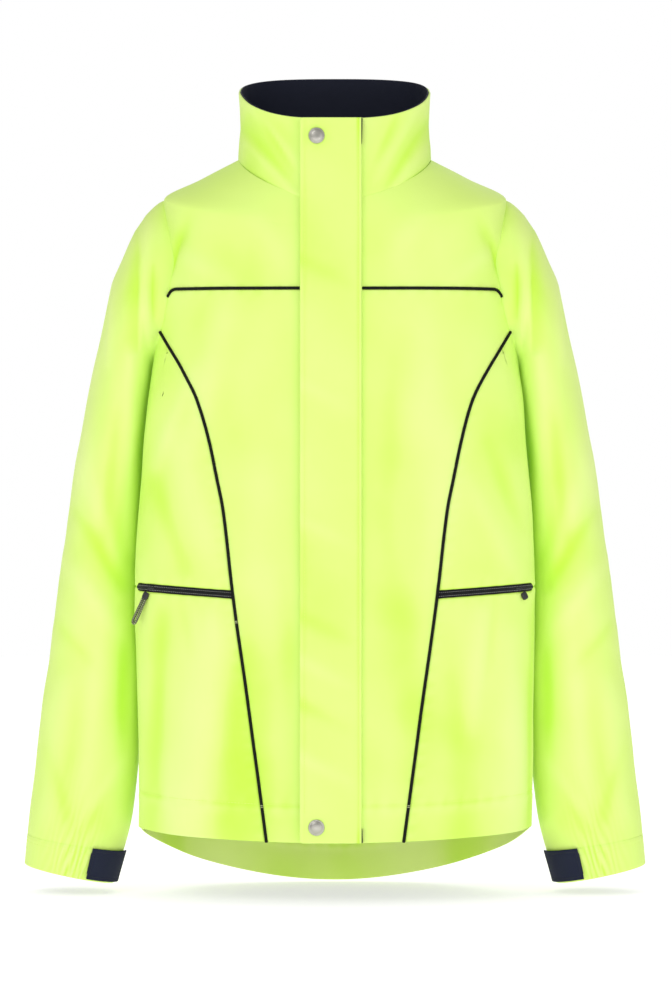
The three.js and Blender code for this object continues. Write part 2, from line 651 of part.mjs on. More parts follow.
function pocketZip(side, word) {
  const onFront = (x) => {
    const a = angleAt(x, POCKET_V);
    return body(side > 0 ? a : Math.PI - a, pocketHeight(x), 0);
  };
  const [inner, outer] = [onFront(pocketInner + PIPED), onFront(POCKET.outer)];
  const { centre, radius, normal } = circleThrough(inner, onFront(POCKET.middle), outer);
  if (normal.z < 0) normal.negate();
  const x = inner.clone().sub(centre).normalize();
  const g = groupAt(centre, x, normal, `pocket_arc_${word}`);
  const sweep = side * x.angleTo(outer.clone().sub(centre));
  const END = 3 / radius;
  const bar = (from, to, low, high) => solid(bent(Math.max(1, Math.round(Math.abs(to - from) * 14)), 1,
    (s, t, d) => {
      const a = lerp(from, to, s);
      const r = radius - lerp(POCKET.tape, 0, d);
      return new THREE.Vector3(r * Math.cos(a), r * Math.sin(a), lerp(low, high, t));
    }));
  const slot = SLIDER.bridge + 0.3;
  const band = bar(0, sweep, slot, POCKET.half).add(bar(0, sweep, -POCKET.half, -slot))
    .add(bar(0, side * END, -slot - 0.2, slot + 0.2))
    .add(bar(sweep - side * END, sweep, -slot - 0.2, slot + 0.2));
  const place = (a, r) => new THREE.Vector3(r * Math.cos(a), r * Math.sin(a), 0);
  const park = sweep - side * (POCKET.park / radius);
  const r0 = radius + FIT;
  const slider = piece(`pocket_slider_${word}`,
    geometryOf(sliderSolid(POCKET.tape + 2 * FIT, 3.4, SLIDER.length)), COLOUR.zip, 0.4, 0.6);
  const out = new THREE.Vector3(Math.cos(park), Math.sin(park), 0);
  const along = new THREE.Vector3(-Math.sin(park), Math.cos(park), 0).multiplyScalar(side);
  slider.quaternion.setFromRotationMatrix(new THREE.Matrix4().makeBasis(
    new THREE.Vector3().crossVectors(along, out), along, out));
  slider.position.copy(place(park, r0));
  const pullAt = place(park + side * (5.4 / radius), r0 + SLIDER.plate + 2.2);
  pullAt.z -= 4.6;
  const pullerParts = pullerPieces(side, word, pullAt, out, along);
  return inside(g,
    piece(`pocket_zip_${word}`, geometryOf(band), COLOUR.zip, 0.7),
    pivot(`pocket_slider_${word}_travel`, new THREE.Vector3(), slider,
      pivot(`pocket_puller_${word}_lift`, pullAt, pullerParts)));
}

// The puller's crimp hangs from the slider and holds the two ends of the doubled pull cord.
function pullerPieces(side, word, at, out, along) {
  const CRIMP = { half: 3.6, drop: 8, thick: 3.6 };
  const down = new THREE.Vector3(0, 0, -1)
    .addScaledVector(along, 0.38).addScaledVector(out, 0.12).normalize();
  const across = new THREE.Vector3().crossVectors(out, down).normalize();
  const face = new THREE.Vector3().crossVectors(down, across).normalize();
  const crimp = piece(`pocket_puller_${word}`, closed(bent(2, 2, (s, t, d) => (
    at.clone().addScaledVector(across, lerp(-CRIMP.half, CRIMP.half, s))
      .addScaledVector(down, lerp(0, CRIMP.drop, t))
      .addScaledVector(face, lerp(-CRIMP.thick / 2, CRIMP.thick / 2, d))
  ))), COLOUR.zip, 0.6);
  if (side > 0) return [crimp];
  const points = PULL_CORD.route.map(([x, y]) => (
    at.clone().addScaledVector(across, x).addScaledVector(down, CRIMP.drop + FIT + y)
  ));
  return [crimp, piece(`pocket_cord_${word}`, tube(points, PULL_CORD.r, 22, 8), COLOUR.zip)];
}

// ---------- sleeves ----------
// Each ring of a sleeve spans an outer and an inner point; the first one follows the armhole. The
// inner point stands its room beyond the body at its own height, and the outer one a span further.
const SLEEVE = {
  t: [0, 0.02, 0.06, 0.13, 0.2, 0.28, 0.37, 0.46, 0.55, 0.64, 0.73, 0.82, 0.92, 1],
  span: [-4, 4, 17, 30.5, 41.5, 50.5, 62, 71, 78, 87.5, 96.5, 105, 107, 95],
  outZ: [319, 313, 290, 252, 214, 163, 100, 36, -28, -91, -155, -218, -310, -380],
  room: [-1, 1.5, 3.5, 2.5, 1.5, 0, -2, -3, -2, -2, -2, 0, 9, 29],
  inZ: [150, 147, 138, 118, 98, 70, 30, -25, -75, -125, -182, -238, -325, -400],
  halfY: [58, 66, 74, 79, 82, 82, 80, 76, 71, 67, 62, 58, 53, 48],
  midY: [-4, -2, 2, 7, 12, 16, 20, 22, 22, 20, 18, 16, 13, 12],
};
const sleeveAt = {};
["span", "outZ", "room", "inZ", "halfY", "midY"].forEach((key) => {
  sleeveAt[key] = smooth(SLEEVE.t, SLEEVE[key]);
});
const DRAWN_LENGTH = ARM_TOP + 392; // at which the ring heights above are true
const UNDERARM = ARMHOLE.z - ARMHOLE.halfHeight;
const HEAD = ARM_TOP - UNDERARM; // keeps to the armhole, whatever the length below it
const stretch = (SLEEVE_LENGTH - HEAD) / (DRAWN_LENGTH - HEAD);
const sleeveZ = (z) => (z > UNDERARM ? z : UNDERARM + (z - UNDERARM) * stretch);

function sleeveSurface(side) {
  return (turn, t) => {
    const at = Object.fromEntries(Object.entries(sleeveAt).map(([k, f]) => [k, f(clamp(t, -0.01, 1.01))]));
    const [c, s] = squircle(turn, 2.15);
    const mix = (inner, outer) => (outer + inner) / 2 + (c * (outer - inner)) / 2;
    const inX = halfWidth(sleeveZ(at.inZ)) + at.room;
    const ring = new THREE.Vector3(
      mix(inX, inX + at.span), at.midY + s * at.halfY, sleeveZ(mix(at.inZ, at.outZ)),
    );
    const v = ARMHOLE.z + ARMHOLE.halfHeight * Math.cos(turn);
    const arm = bodySurface(ARMHOLE.halfAngle * Math.sin(turn), v);
    arm.x += 1.5;
    const p = arm.lerp(ring, clamp(t / 0.06, 0, 1));
    p.x *= side;
    return p;
  };
}

function sleevePoint(side, turn, t, depth) {
  const surface = sleeveSurface(1);
  const p = under((a, h) => surface(a, -h), turn, -t, depth, 0.004);
  p.x *= side;
  return p;
}

const BAND_T = 1 - CUFF_BAND / SLEEVE_LENGTH;

function sleeveWall(side, from, to, depth, thick, around, rows) {
  return ringWall(around, rows, (turn, t, d) => (
    sleevePoint(side, turn, lerp(from, to, t), depth + d * thick)
  ));
}

// A patch of the cuff: turns in radians, share of the band's height, proud of the cloth by z.
function cuffPatch(side, from, to, low, high, z, thick, cols = 6) {
  return bent(cols, 2, (s, t, d) => (
    sleevePoint(side, lerp(from, to, s), lerp(high, low, t), -(z + d * thick))
  ));
}

function sleeve(side, word) {
  const tipX = side * halfWidth(ARM_TOP);
  const bandTop = BAND_T + 0.002;
  const outFrom = -Math.PI + 0.12; // the sewn end, at the inner edge of the cuff
  const tabTo = outFrom + 1.05;
  const [tabLow, tabHigh] = [0.998, 0.998 - TAB.height / SLEEVE_LENGTH];
  const hookZ = FIT + TAB.loop + FIT;
  const tabZ = hookZ + TAB.hook + FIT;
  const loopPatch = cuffPatch(side, outFrom + 0.35, tabTo, tabLow - 0.006, tabHigh + 0.006, FIT, TAB.loop);
  const hookPatch = cuffPatch(side, outFrom + 0.45, tabTo - 0.05, tabLow - 0.007, tabHigh + 0.007,
    hookZ, TAB.hook);
  const tab = cuffPatch(side, outFrom, tabTo, tabLow, tabHigh, tabZ, TAB.thick, 7);
  const hingeAt = sleevePoint(side, outFrom, (tabLow + tabHigh) / 2, -(tabZ + TAB.thick / 2));
  return pivot(`sleeve_${word}_lift`, new THREE.Vector3(tipX, 0, ARM_TOP),
    piece(`sleeve_${word}`, sleeveWall(side, 0.004, BAND_T, 0, SHELL, 20, 12), COLOUR.shell),
    piece(`cuff_${word}`, sleeveWall(side, bandTop, 1, 0, SHELL, 20, 1), COLOUR.shell),
    piece(`sleeve_lining_${word}`, sleeveWall(side, 0.03, BAND_T - 0.01, SHELL + 5.2, LINING, 18, 9),
      COLOUR.lining),
    piece(`cuff_elastic_${word}`,
      cuffPatch(side, outFrom + 1.2, Math.PI - 1, 0.992, bandTop + 0.006, -(SHELL + 2.2), 1, 12),
      COLOUR.lining),
    piece(`cuff_loop_patch_${word}`, loopPatch, COLOUR.tape),
    pivot(`cuff_tab_${word}_peel`, hingeAt,
      piece(`cuff_tab_${word}`, tab, COLOUR.tab),
      piece(`cuff_hook_patch_${word}`, hookPatch, COLOUR.tape)));
}

// ---------- the hang loop: a tape arched between its two sewn ends in the back neck ----------
const loopPeak = new THREE.Vector3(0, LOOP.y, LOOP.footZ + LOOP.rise);

function hangLoop() {
  const points = [];
  for (let i = 0; i <= 10; i++) {
    const x = lerp(-LOOP.half, LOOP.half, i / 10);
    const z = LOOP.footZ + LOOP.rise * (1 - Math.abs(x / LOOP.half) ** 3) + LOOP.thick / 2;
    points.push(new THREE.Vector3(x, LOOP.y, z));
  }
  const section = new THREE.Shape();
  const [w, h] = [LOOP.wide / 2, LOOP.thick / 2];
  section.moveTo(-w, -h);
  section.lineTo(w, -h);
  section.lineTo(w, h);
  section.lineTo(-w, h);
  section.closePath();
  const path = new THREE.CatmullRomCurve3(points);
  const g = new THREE.ExtrudeGeometry(section, { steps: 16, extrudePath: path, bevelEnabled: false });
  return piece("hang_loop", closed(g), COLOUR.lining);
}

// ---------- the jacket ----------
const jacket = inside(new THREE.Group(),
  sidePanels(-1, "right"), sidePanels(1, "left"), backPanels(), collarPieces(),
  pipings(-1, "right"), pipings(1, "left"), centreFront(),
  pocketZip(-1, "right"), pocketZip(1, "left"),
  sleeve(-1, "right"), sleeve(1, "left"), hangLoop());
jacket.position.copy(loopPeak).negate();

const group = inside(new THREE.Group(), jacket);
export default group;
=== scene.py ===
"""A waterproof sailing jacket, dressed piece by piece on its fixed frame.

Lengths are millimetres in the form classes, about the jacket's own middle, and `to_row` turns them
into metres about the hang loop's bearing point. +Z is up, the front faces -Y, and the wearer's left
is +X. Right and left in names are the wearer's.
"""

import logging
import math
from collections.abc import Callable, Sequence
from dataclasses import dataclass, field
from enum import Enum

import bpy
import numpy as np
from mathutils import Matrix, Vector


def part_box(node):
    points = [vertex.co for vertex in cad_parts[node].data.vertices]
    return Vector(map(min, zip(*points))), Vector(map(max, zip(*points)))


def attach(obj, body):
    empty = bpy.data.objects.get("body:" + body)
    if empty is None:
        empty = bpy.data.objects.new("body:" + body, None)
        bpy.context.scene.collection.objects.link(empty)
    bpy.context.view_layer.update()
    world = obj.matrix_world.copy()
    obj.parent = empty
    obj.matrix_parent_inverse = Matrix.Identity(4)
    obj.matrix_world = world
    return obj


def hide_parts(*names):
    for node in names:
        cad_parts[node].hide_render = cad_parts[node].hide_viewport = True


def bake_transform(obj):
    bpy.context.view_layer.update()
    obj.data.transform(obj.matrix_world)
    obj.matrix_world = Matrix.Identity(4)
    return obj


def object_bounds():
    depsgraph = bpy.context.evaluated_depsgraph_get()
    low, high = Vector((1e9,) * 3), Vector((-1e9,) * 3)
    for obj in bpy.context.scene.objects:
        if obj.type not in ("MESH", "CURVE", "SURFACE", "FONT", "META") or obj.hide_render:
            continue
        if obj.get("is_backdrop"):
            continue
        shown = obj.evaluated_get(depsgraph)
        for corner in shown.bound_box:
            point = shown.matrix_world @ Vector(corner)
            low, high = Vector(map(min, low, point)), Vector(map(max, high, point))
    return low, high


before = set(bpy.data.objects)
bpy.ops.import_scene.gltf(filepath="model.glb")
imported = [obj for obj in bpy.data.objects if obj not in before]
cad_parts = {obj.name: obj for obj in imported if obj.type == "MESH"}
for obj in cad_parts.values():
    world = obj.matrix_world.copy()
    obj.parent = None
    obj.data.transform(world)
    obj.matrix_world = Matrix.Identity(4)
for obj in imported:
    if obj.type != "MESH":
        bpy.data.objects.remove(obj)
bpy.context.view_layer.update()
log = logging.getLogger("jacket")

Array = np.ndarray
Edge = Callable[[Array], Array]
BEARING = np.array([0.0, 76.0, 391.0])
TAU = 2 * math.pi


class Side(Enum):
    """The wearer's right and left, with the sign of their X."""

    RIGHT = -1
    LEFT = 1

    @property
    def word(self) -> str:
        """The side's word in node names."""
        return self.name.lower()


# ---------------------------------------------------------------- numbers and curves


def to_row(points: Array) -> Array:
    """Millimetres about the jacket's middle as metres about the bearing point: (p - bearing) / 1000."""
    return (np.asarray(points, float) - BEARING) / 1000


def lerp(a: float | Array, b: float | Array, t: float | Array) -> float | Array:
    """The straight blend a + (b - a) t."""
    return a + (b - a) * t


def ease(t: Array) -> Array:
    """The smooth step t t (3 - 2 t), with t held between 0 and 1."""
    t = np.clip(t, 0, 1)
    return t * t * (3 - 2 * t)


def bell(distance: Array, width: float | Array) -> Array:
    """The bell curve exp(-(distance / width) squared)."""
    return np.exp(-((distance / width) ** 2))


def unit(vectors: Array) -> Array:
    """Vectors divided by their lengths, along the last axis."""
    return vectors / np.maximum(np.linalg.norm(vectors, axis=-1, keepdims=True), 1e-12)


class Curve:
    """A smooth curve through (key, value) pairs, cubic between keys and straight past its ends.

    A key's slope is the harmonic mean of the slopes beside it, or zero at a peak, so that the curve
    never passes its neighbours' values.
    """

    def __init__(self, keys: Sequence[float], values: Sequence[float]) -> None:
        """Works out the slope at each key.

        Args:
            keys: Rising keys.
            values: The value at each key.
        """
        self.keys, self.values = np.array(keys, float), np.array(values, float)
        rise = np.diff(self.values) / np.diff(self.keys)
        a, b = rise[:-1], rise[1:]
        total = np.where(a + b == 0, 1, a + b)
        inner = np.where(a * b <= 0, 0, 2 * a * b / total)
        self.slopes = np.concatenate([rise[:1], inner, rise[-1:]])

    def __call__(self, key: float | Array) -> Array:
        """The curve's value at a key, by the cubic Hermite form."""
        key = np.asarray(key, float)
        i = np.clip(np.searchsorted(self.keys, key, side="right") - 1, 0, len(self.keys) - 2)
        h = self.keys[i + 1] - self.keys[i]
        t = np.clip((key - self.keys[i]) / h, 0, 1)
        t2, t3 = t * t, t * t * t
        cubic = (2 * t3 - 3 * t2 + 1) * self.values[i] + (t3 - 2 * t2 + t) * h * self.slopes[i]
        cubic = cubic + (3 * t2 - 2 * t3) * self.values[i + 1] + (t3 - t2) * h * self.slopes[i + 1]
        low = np.minimum(key - self.keys[0], 0) * self.slopes[0]
        high = np.maximum(key - self.keys[-1], 0) * self.slopes[-1]
        return cubic + low + high


def squircle(turn: Array, power: float | Array) -> tuple[Array, Array]:
    """The point of |x|^n + |y|^n = 1 in the direction turn."""
    c, s = np.cos(turn), np.sin(turn)
    k = (np.abs(c) ** power + np.abs(s) ** power) ** (-1 / power)
    return k * c, k * s


def fine_edges(length: float, step: float) -> Array:
    """Shares from 0 to 1 about step apart along a length, and closer beside both ends.

    Args:
        length: The length in millimetres.
        step: The usual spacing in millimetres.

    Returns:
        Rising shares that hold 0 and 1.
    """
    near = np.array([0, 0.5, 1.1, 1.8, 2.8, 4.2])
    middle = np.linspace(6, length - 6, max(2, round((length - 12) / step) + 1))
    return np.concatenate([near, middle, (length - near)[::-1]]) / length


# ---------------------------------------------------------------- folds in the cloth


@dataclass(frozen=True)
class Fold:
    """A ridge or a valley in the cloth, straight in the front view.

    Its height at a point is height times a bell of the distance from the line, and it fades to
    nothing over the last part of its length. On the side of greater x the bell's width is
    multiplied by edge, so that a small edge makes a crease.
    """

    start: tuple[float, float]
    end: tuple[float, float]
    width: float
    height: float
    edge: float = 1.0

    def lift(self, x: Array, z: Array) -> Array:
        """How far the fold raises the cloth at x, z, in millimetres."""
        a, b = np.array(self.start), np.array(self.end)
        along = b - a
        length = float(np.hypot(*along))
        t = ((x - a[0]) * along[0] + (z - a[1]) * along[1]) / length**2
        across = np.hypot(x - a[0] - t * along[0], z - a[1] - t * along[1])
        across = np.where(x > a[0] + t * along[0], across / self.edge, across)
        over = np.maximum(np.maximum(-t, t - 1), 0) * length
        ends = bell(over, self.width * 1.6) * (0.55 + 0.45 * np.sin(math.pi * np.clip(t, 0, 1)))
        return self.height * bell(across, self.width) * ends


BODY_FOLDS = (
    Fold((-163, 270), (-175, 226), 5.5, -2.2, 0.4),
    Fold((-175, 226), (-187, 186), 5.5, -2.8, 0.4),
    Fold((175, 226), (163, 270), 2.2, -2.0, 2.5),
    Fold((187, 186), (175, 226), 2.2, -2.6, 2.5),
    Fold((-112, 205), (-150, 60), 15, 1.8),
    Fold((-84, 40), (-60, -200), 22, 2.0),
    Fold((-48, -80), (-40, -330), 11, -1.5),
    Fold((-128, -150), (-150, -310), 18, 2.0),
    Fold((-180, -120), (-186, -300), 9, -1.8),
    Fold((-96, -150), (-112, -320), 12, -1.3),
    Fold((-165, 60), (-120, -70), 14, 1.6),
    Fold((-186, 20), (-150, -80), 9, -1.6),
    Fold((-150, 130), (-186, 40), 8, 1.6),
    Fold((-158, -100), (-148, -150), 6, -1.2),
    Fold((-128, -104), (-124, -150), 6, 1.1),
    Fold((92, 215), (96, 40), 20, 1.6),
    Fold((60, 140), (52, -40), 12, -1.2),
    Fold((120, 60), (84, -170), 16, 1.5),
    Fold((150, -110), (140, -230), 8, 1.6),
    Fold((165, -104), (158, -170), 5, -1.4),
    Fold((182, -140), (188, -300), 10, 1.8),
    Fold((120, -150), (132, -320), 13, -1.4),
    Fold((60, -190), (52, -330), 16, 1.4),
    Fold((160, 60), (190, -20), 9, -1.5),
    Fold((140, 20), (180, -60), 9, 1.4),
    Fold((-165, 262), (-120, 235), 10, 1.2),
    Fold((-150, 300), (-172, 244), 7, -1.6),
    Fold((-96, 318), (-60, 262), 12, 1.2),
    Fold((96, 318), (66, 262), 12, 1.2),
    Fold((150, 296), (172, 244), 7, -1.6),
    Fold((170, 268), (128, 236), 9, 1.2),
)
SLEEVE_FOLDS = (
    Fold((205, 300), (205, 160), 2.2, -1.9, 5.0),
    Fold((196, 290), (197, 200), 6, 1.4),
    Fold((190, 244), (189, 196), 4, -2.4, 0.6),
    Fold((197, 214), (193, 165), 6, 1.6),
    Fold((230, 276), (236, 150), 6, 1.4, 0.6),
    Fold((236, 225), (268, 20), 11, 1.6),
    Fold((212, 150), (214, -40), 7, 1.8),
    Fold((226, 90), (240, -30), 8, -1.7),
    Fold((262, 40), (230, -50), 9, 1.8),
    Fold((270, -10), (222, -84), 7, -1.7),
    Fold((282, -60), (228, -130), 10, 1.9),
    Fold((296, -120), (250, -170), 8, -1.2),
    Fold((240, -110), (262, -300), 13, 2.2),
    Fold((220, -140), (222, -260), 7, -2.0),
    Fold((286, -190), (300, -330), 12, 1.6),
    Fold((222, -270), (262, -330), 7, 1.6),
    Fold((238, -300), (270, -352), 5, -1.3),
    Fold((300, -262), (280, -330), 7, -1.2),
)
COLLAR_FOLDS = (
    Fold((-88, 412), (-40, 352), 4.5, 1.5),
    Fold((-80, 404), (-44, 344), 3.5, -1.4),
    Fold((-96, 392), (-42, 328), 5, -1.5),
    Fold((-92, 374), (-40, 318), 4.5, 1.3),
    Fold((-100, 358), (-56, 312), 5, -1.2),
    Fold((-62, 424), (-34, 386), 4, -1.0),
    Fold((84, 408), (44, 338), 4.5, 1.4),
    Fold((96, 396), (56, 330), 4, -1.5),
    Fold((66, 404), (44, 356), 3.5, -1.2),
    Fold((97, 372), (54, 316), 5, 1.3),
    Fold((101, 356), (62, 312), 4, -1.1),
)


@dataclass(frozen=True)
class Drape:
    """How the cloth stands off its plain form: named folds, flutes below the waist and small crumples."""

    flute: float = 2.2
    crumple: float = 0.5
    seed: int = 11

    def crumples(self, p: Array) -> Array:
        """A sum of plane waves with lengths of 34 to 120 mm in fixed directions, about 1 in size."""
        rng = np.random.default_rng(self.seed)
        total = np.zeros(p.shape[:-1])
        for _ in range(14):
            direction = unit(rng.normal(size=3) * np.array([1.0, 0.6, 0.55]))
            wave, phase = rng.uniform(34, 120), rng.uniform(0, TAU)
            total = total + np.sin(p @ direction * TAU / wave + phase) * (wave / 120)
        return total / 2.2

    def body(self, turn: Array, v: Array, p: Array) -> Array:
        """The lift of the body's cloth: folds on the front and their mirror image, fainter, behind.

        Args:
            turn: Angle round the body.
            v: Height at the side.
            p: The plain form's points.

        Returns:
            Millimetres along the outward normal.
        """
        front = ease(-p[..., 1] / 40 + 0.3)
        ahead = sum(fold.lift(p[..., 0], p[..., 2]) for fold in BODY_FOLDS)
        behind = sum(fold.lift(-p[..., 0] * 1.06, p[..., 2] + 14) for fold in BODY_FOLDS)
        low = ease((40 - v) / 330)
        flutes = self.flute * low * (
            0.6 * np.sin(turn * 7 + 0.9 + v / 210) + 0.45 * np.sin(turn * 11.3 - 1.1 - v / 150)
        )
        calm = 1 - 0.85 * bell(p[..., 0], 46) * front
        zips = 1 - 0.9 * bell(p[..., 2] + 89, 15) * ease((np.abs(p[..., 0]) - 92) / 16) * front
        lift = ahead * front + behind * (1 - front) * 1.2 + flutes + self.crumple * self.crumples(p)
        tip = 1 - 0.8 * ease((p[..., 2] - 272) / 40)
        return lift * calm * zips * tip

    def sleeve(self, p: Array, t: Array) -> Array:
        """The lift of a left sleeve's cloth, whose folds show before and, moved a little, behind."""
        front = ease(-(p[..., 1] - 14) / 40 + 0.5)
        ahead = sum(fold.lift(p[..., 0], p[..., 2]) for fold in SLEEVE_FOLDS)
        behind = sum(fold.lift(p[..., 0] * 0.99, p[..., 2] + 22) for fold in SLEEVE_FOLDS)
        lift = ahead * front + behind * (1 - front) + self.crumple * 1.2 * self.crumples(p)
        return lift * ease(t / 0.03)

    def collar(self, p: Array, h: Array) -> Array:
        """The lift of the collar: slanting folds in front and a slight roll outwards at its rim."""
        front = ease(-p[..., 1] / 30 + 0.2)
        folds = sum(fold.lift(p[..., 0], p[..., 2]) for fold in COLLAR_FOLDS)
        side = np.abs(p[..., 0]) / 100
        waist = -1.4 * np.sin(math.pi * np.clip(h, 0, 1)) * side**2 + 0.6 * h**3
        calm = 1 - 0.9 * bell(p[..., 0], 40) * front
        return (folds * front + 0.5 * self.crumples(p)) * calm + waist


DRAPE = Drape()


# ---------------------------------------------------------------- forms


class Form:
    """A surface whose turn runs round and whose height runs up, in millimetres."""

    def point(self, turn: Array, height: Array) -> Array:
        """The surface's point."""
        raise NotImplementedError

    def steps(self) -> tuple[float, float]:
        """The small steps of turn and height that the normal is measured with."""
        return 2e-3, 0.5

    def normal(self, turn: Array, height: Array) -> Array:
        """The outward normal: the step round crossed with the step up."""
        a, b = self.steps()
        along = self.point(turn + a, height) - self.point(turn - a, height)
        up = self.point(turn, height + b) - self.point(turn, height - b)
        return unit(np.cross(along, up))


LEVELS = (-408, -346, -250, -84, 100, 150, 235, 271, 320, 342, 362)


@dataclass
class BodyForm(Form):
    """The body: a superellipse at each height, whose rings tilt to the neck's slope above the yoke."""

    hem_z: float = -346
    hem_side_z: float = -336
    tail_z: float = -408
    front_hem_y: float = -134
    front_top_y: float = -100
    collar_front_z: float = 397
    neck_z: float = 362
    hole_z: float = 235
    hole_height: float = 85
    hole_angle: float = 0.53
    meets_z: float = 179
    yoke_z: float = 223

    def __post_init__(self) -> None:
        """Makes the curves of each measure against height."""
        def curve(*values: float) -> Curve:
            return Curve(LEVELS, values)

        self.half = curve(204, 205, 206, 209, 197, 191, 184, 180, 180, 140, 101)
        self.back = curve(119, 118, 115, 112, 118, 116, 110, 108, 106, 98, 88)
        self.middle = curve(-38, -38, -38, -40, -36, -28, -8, -5, -4, -6, -8)
        self.front_z = curve(-408, -346, -250, -84, 100, 150, 232, 258, 286, 300, 312)
        self.back_z = curve(-408, -346, -250, -84, 100, 150, 238, 278, 332, 358, 380)
        self.power = curve(2.35, 2.35, 2.35, 2.4, 2.5, 2.6, 2.8, 2.8, 2.8, 2.8, 2.8)
        self.princess_x = Curve(
            (-346, -200, -95, -5, 25, 67, 108, 141, 172), (70, 90, 104.5, 115, 121, 130, 142, 159, 178)
        )

    @property
    def tip_z(self) -> float:
        """The height of the shoulder tip."""
        return self.hole_z + self.hole_height

    def front_y(self, z: Array) -> Array:
        """The depth of the straight centre front at a height."""
        share = (z - self.hem_z) / (self.collar_front_z - self.hem_z)
        return lerp(self.front_hem_y, self.front_top_y, share)

    def point(self, turn: Array, height: Array) -> Array:
        """x = half width times the superellipse's x, y likewise by the reach, z tilted by sin squared."""
        x, y = squircle(turn, self.power(height))
        front = y < 0
        middle = self.middle(height)
        fz, bz = self.front_z(height), self.back_z(height)
        reach = np.where(front, middle - self.front_y(fz), self.back(height) - middle)
        z = height + (np.where(front, fz, bz) - height) * np.sin(turn) ** 2
        return np.stack(np.broadcast_arrays(self.half(height) * x, middle + reach * y, z), -1)

    def draped(self, turn: Array, v: Array, lift: float | Array = 0.0) -> Array:
        """A point of the draped cloth, with a further lift along the plain normal."""
        plain = self.point(turn, v)
        total = DRAPE.body(turn, v, plain) + lift
        return plain + self.normal(turn, v) * total[..., None]

    def angle_at(self, x: Array, v: Array) -> Array:
        """The angle before the side at which the body is x from its middle plane."""
        n = self.power(v)
        share = np.clip(x / self.half(v), 0, 1)
        return -np.arctan2((1 - share**n) ** (1 / n), share)

    def armhole(self, v: Array) -> Array:
        """Half of the armhole's angle at a height: an ellipse."""
        h = (v - self.hole_z) / self.hole_height
        return self.hole_angle * np.sqrt(np.maximum(0, 1 - h * h))

    def armhole_low(self, a: Array) -> Array:
        """The height of the armhole's lower edge at an angle."""
        h = a / self.hole_angle
        return self.hole_z - self.hole_height * np.sqrt(np.maximum(0, 1 - h * h))

    def princess(self, v: Array) -> Array:
        """The angle of the curved front seam at a height."""
        return self.angle_at(self.princess_x(v), v)

    def hem(self, a: Array) -> Array:
        """The hem's height at an angle: level in front, with a tail behind that falls as sin to 1.5."""
        a = np.where(a > math.pi / 2, math.pi - a, a)
        s = np.sin(a)
        tail = lerp(self.hem_side_z, self.tail_z, np.maximum(0, s) ** 1.5)
        return np.where(a < 0, lerp(self.hem_side_z, self.hem_z, s * s), tail)

    def pocket_height(self, x: Array) -> Array:
        """The pocket zip's height where it is x from the middle plane."""
        inner = self.princess_x(-93)
        return lerp(-93, -86, np.clip((x - inner) / (205 - inner), -0.1, 1.1))

    def pocket(self, a: Array) -> Array:
        """The pocket zip's height at an angle."""
        x, _ = squircle(a, self.power(-89.5))
        return self.pocket_height(self.half(-89.5) * x)

    def pocket_lip(self, a: Array) -> Array:
        """How far the cloth stands back from the pocket zip's middle: 3.9 mm, and none past its end."""
        end = float(self.angle_at(np.array(204.0), np.array(-89.5)))
        return 3.9 * (1 - ease((a - end) / 0.06))


BODY = BodyForm()


class CollarForm(Form):
    """The stand collar on the neck ring; height is 0 at the seam and 1 at the rim."""

    side_z: float = 434
    back_z: float = 457
    back_y: float = 85

    def steps(self) -> tuple[float, float]:
        """Steps for a surface whose height runs from 0 to 1."""
        return 2e-3, 0.01

    def point(self, turn: Array, height: Array) -> Array:
        """A straight blend from the neck ring to the rim, which dips in front and rises behind."""
        low = BODY.point(turn, np.full_like(np.asarray(turn, float), BODY.neck_z))
        x, y = squircle(turn, 2.8)
        front = y < 0
        middle = BODY.middle(BODY.neck_z)
        reach = np.where(front, middle - BODY.front_top_y, self.back_y - middle)
        share = np.abs(y) ** np.where(front, RIM_POWER, 1.0)
        z = lerp(self.side_z, np.where(front, BODY.collar_front_z, self.back_z), share)
        top = np.stack(np.broadcast_arrays(100 * x, middle + reach * y, z), -1)
        return lerp(low, top, np.asarray(height, float)[..., None])


RIM_POWER = 1.5
COLLAR = CollarForm()


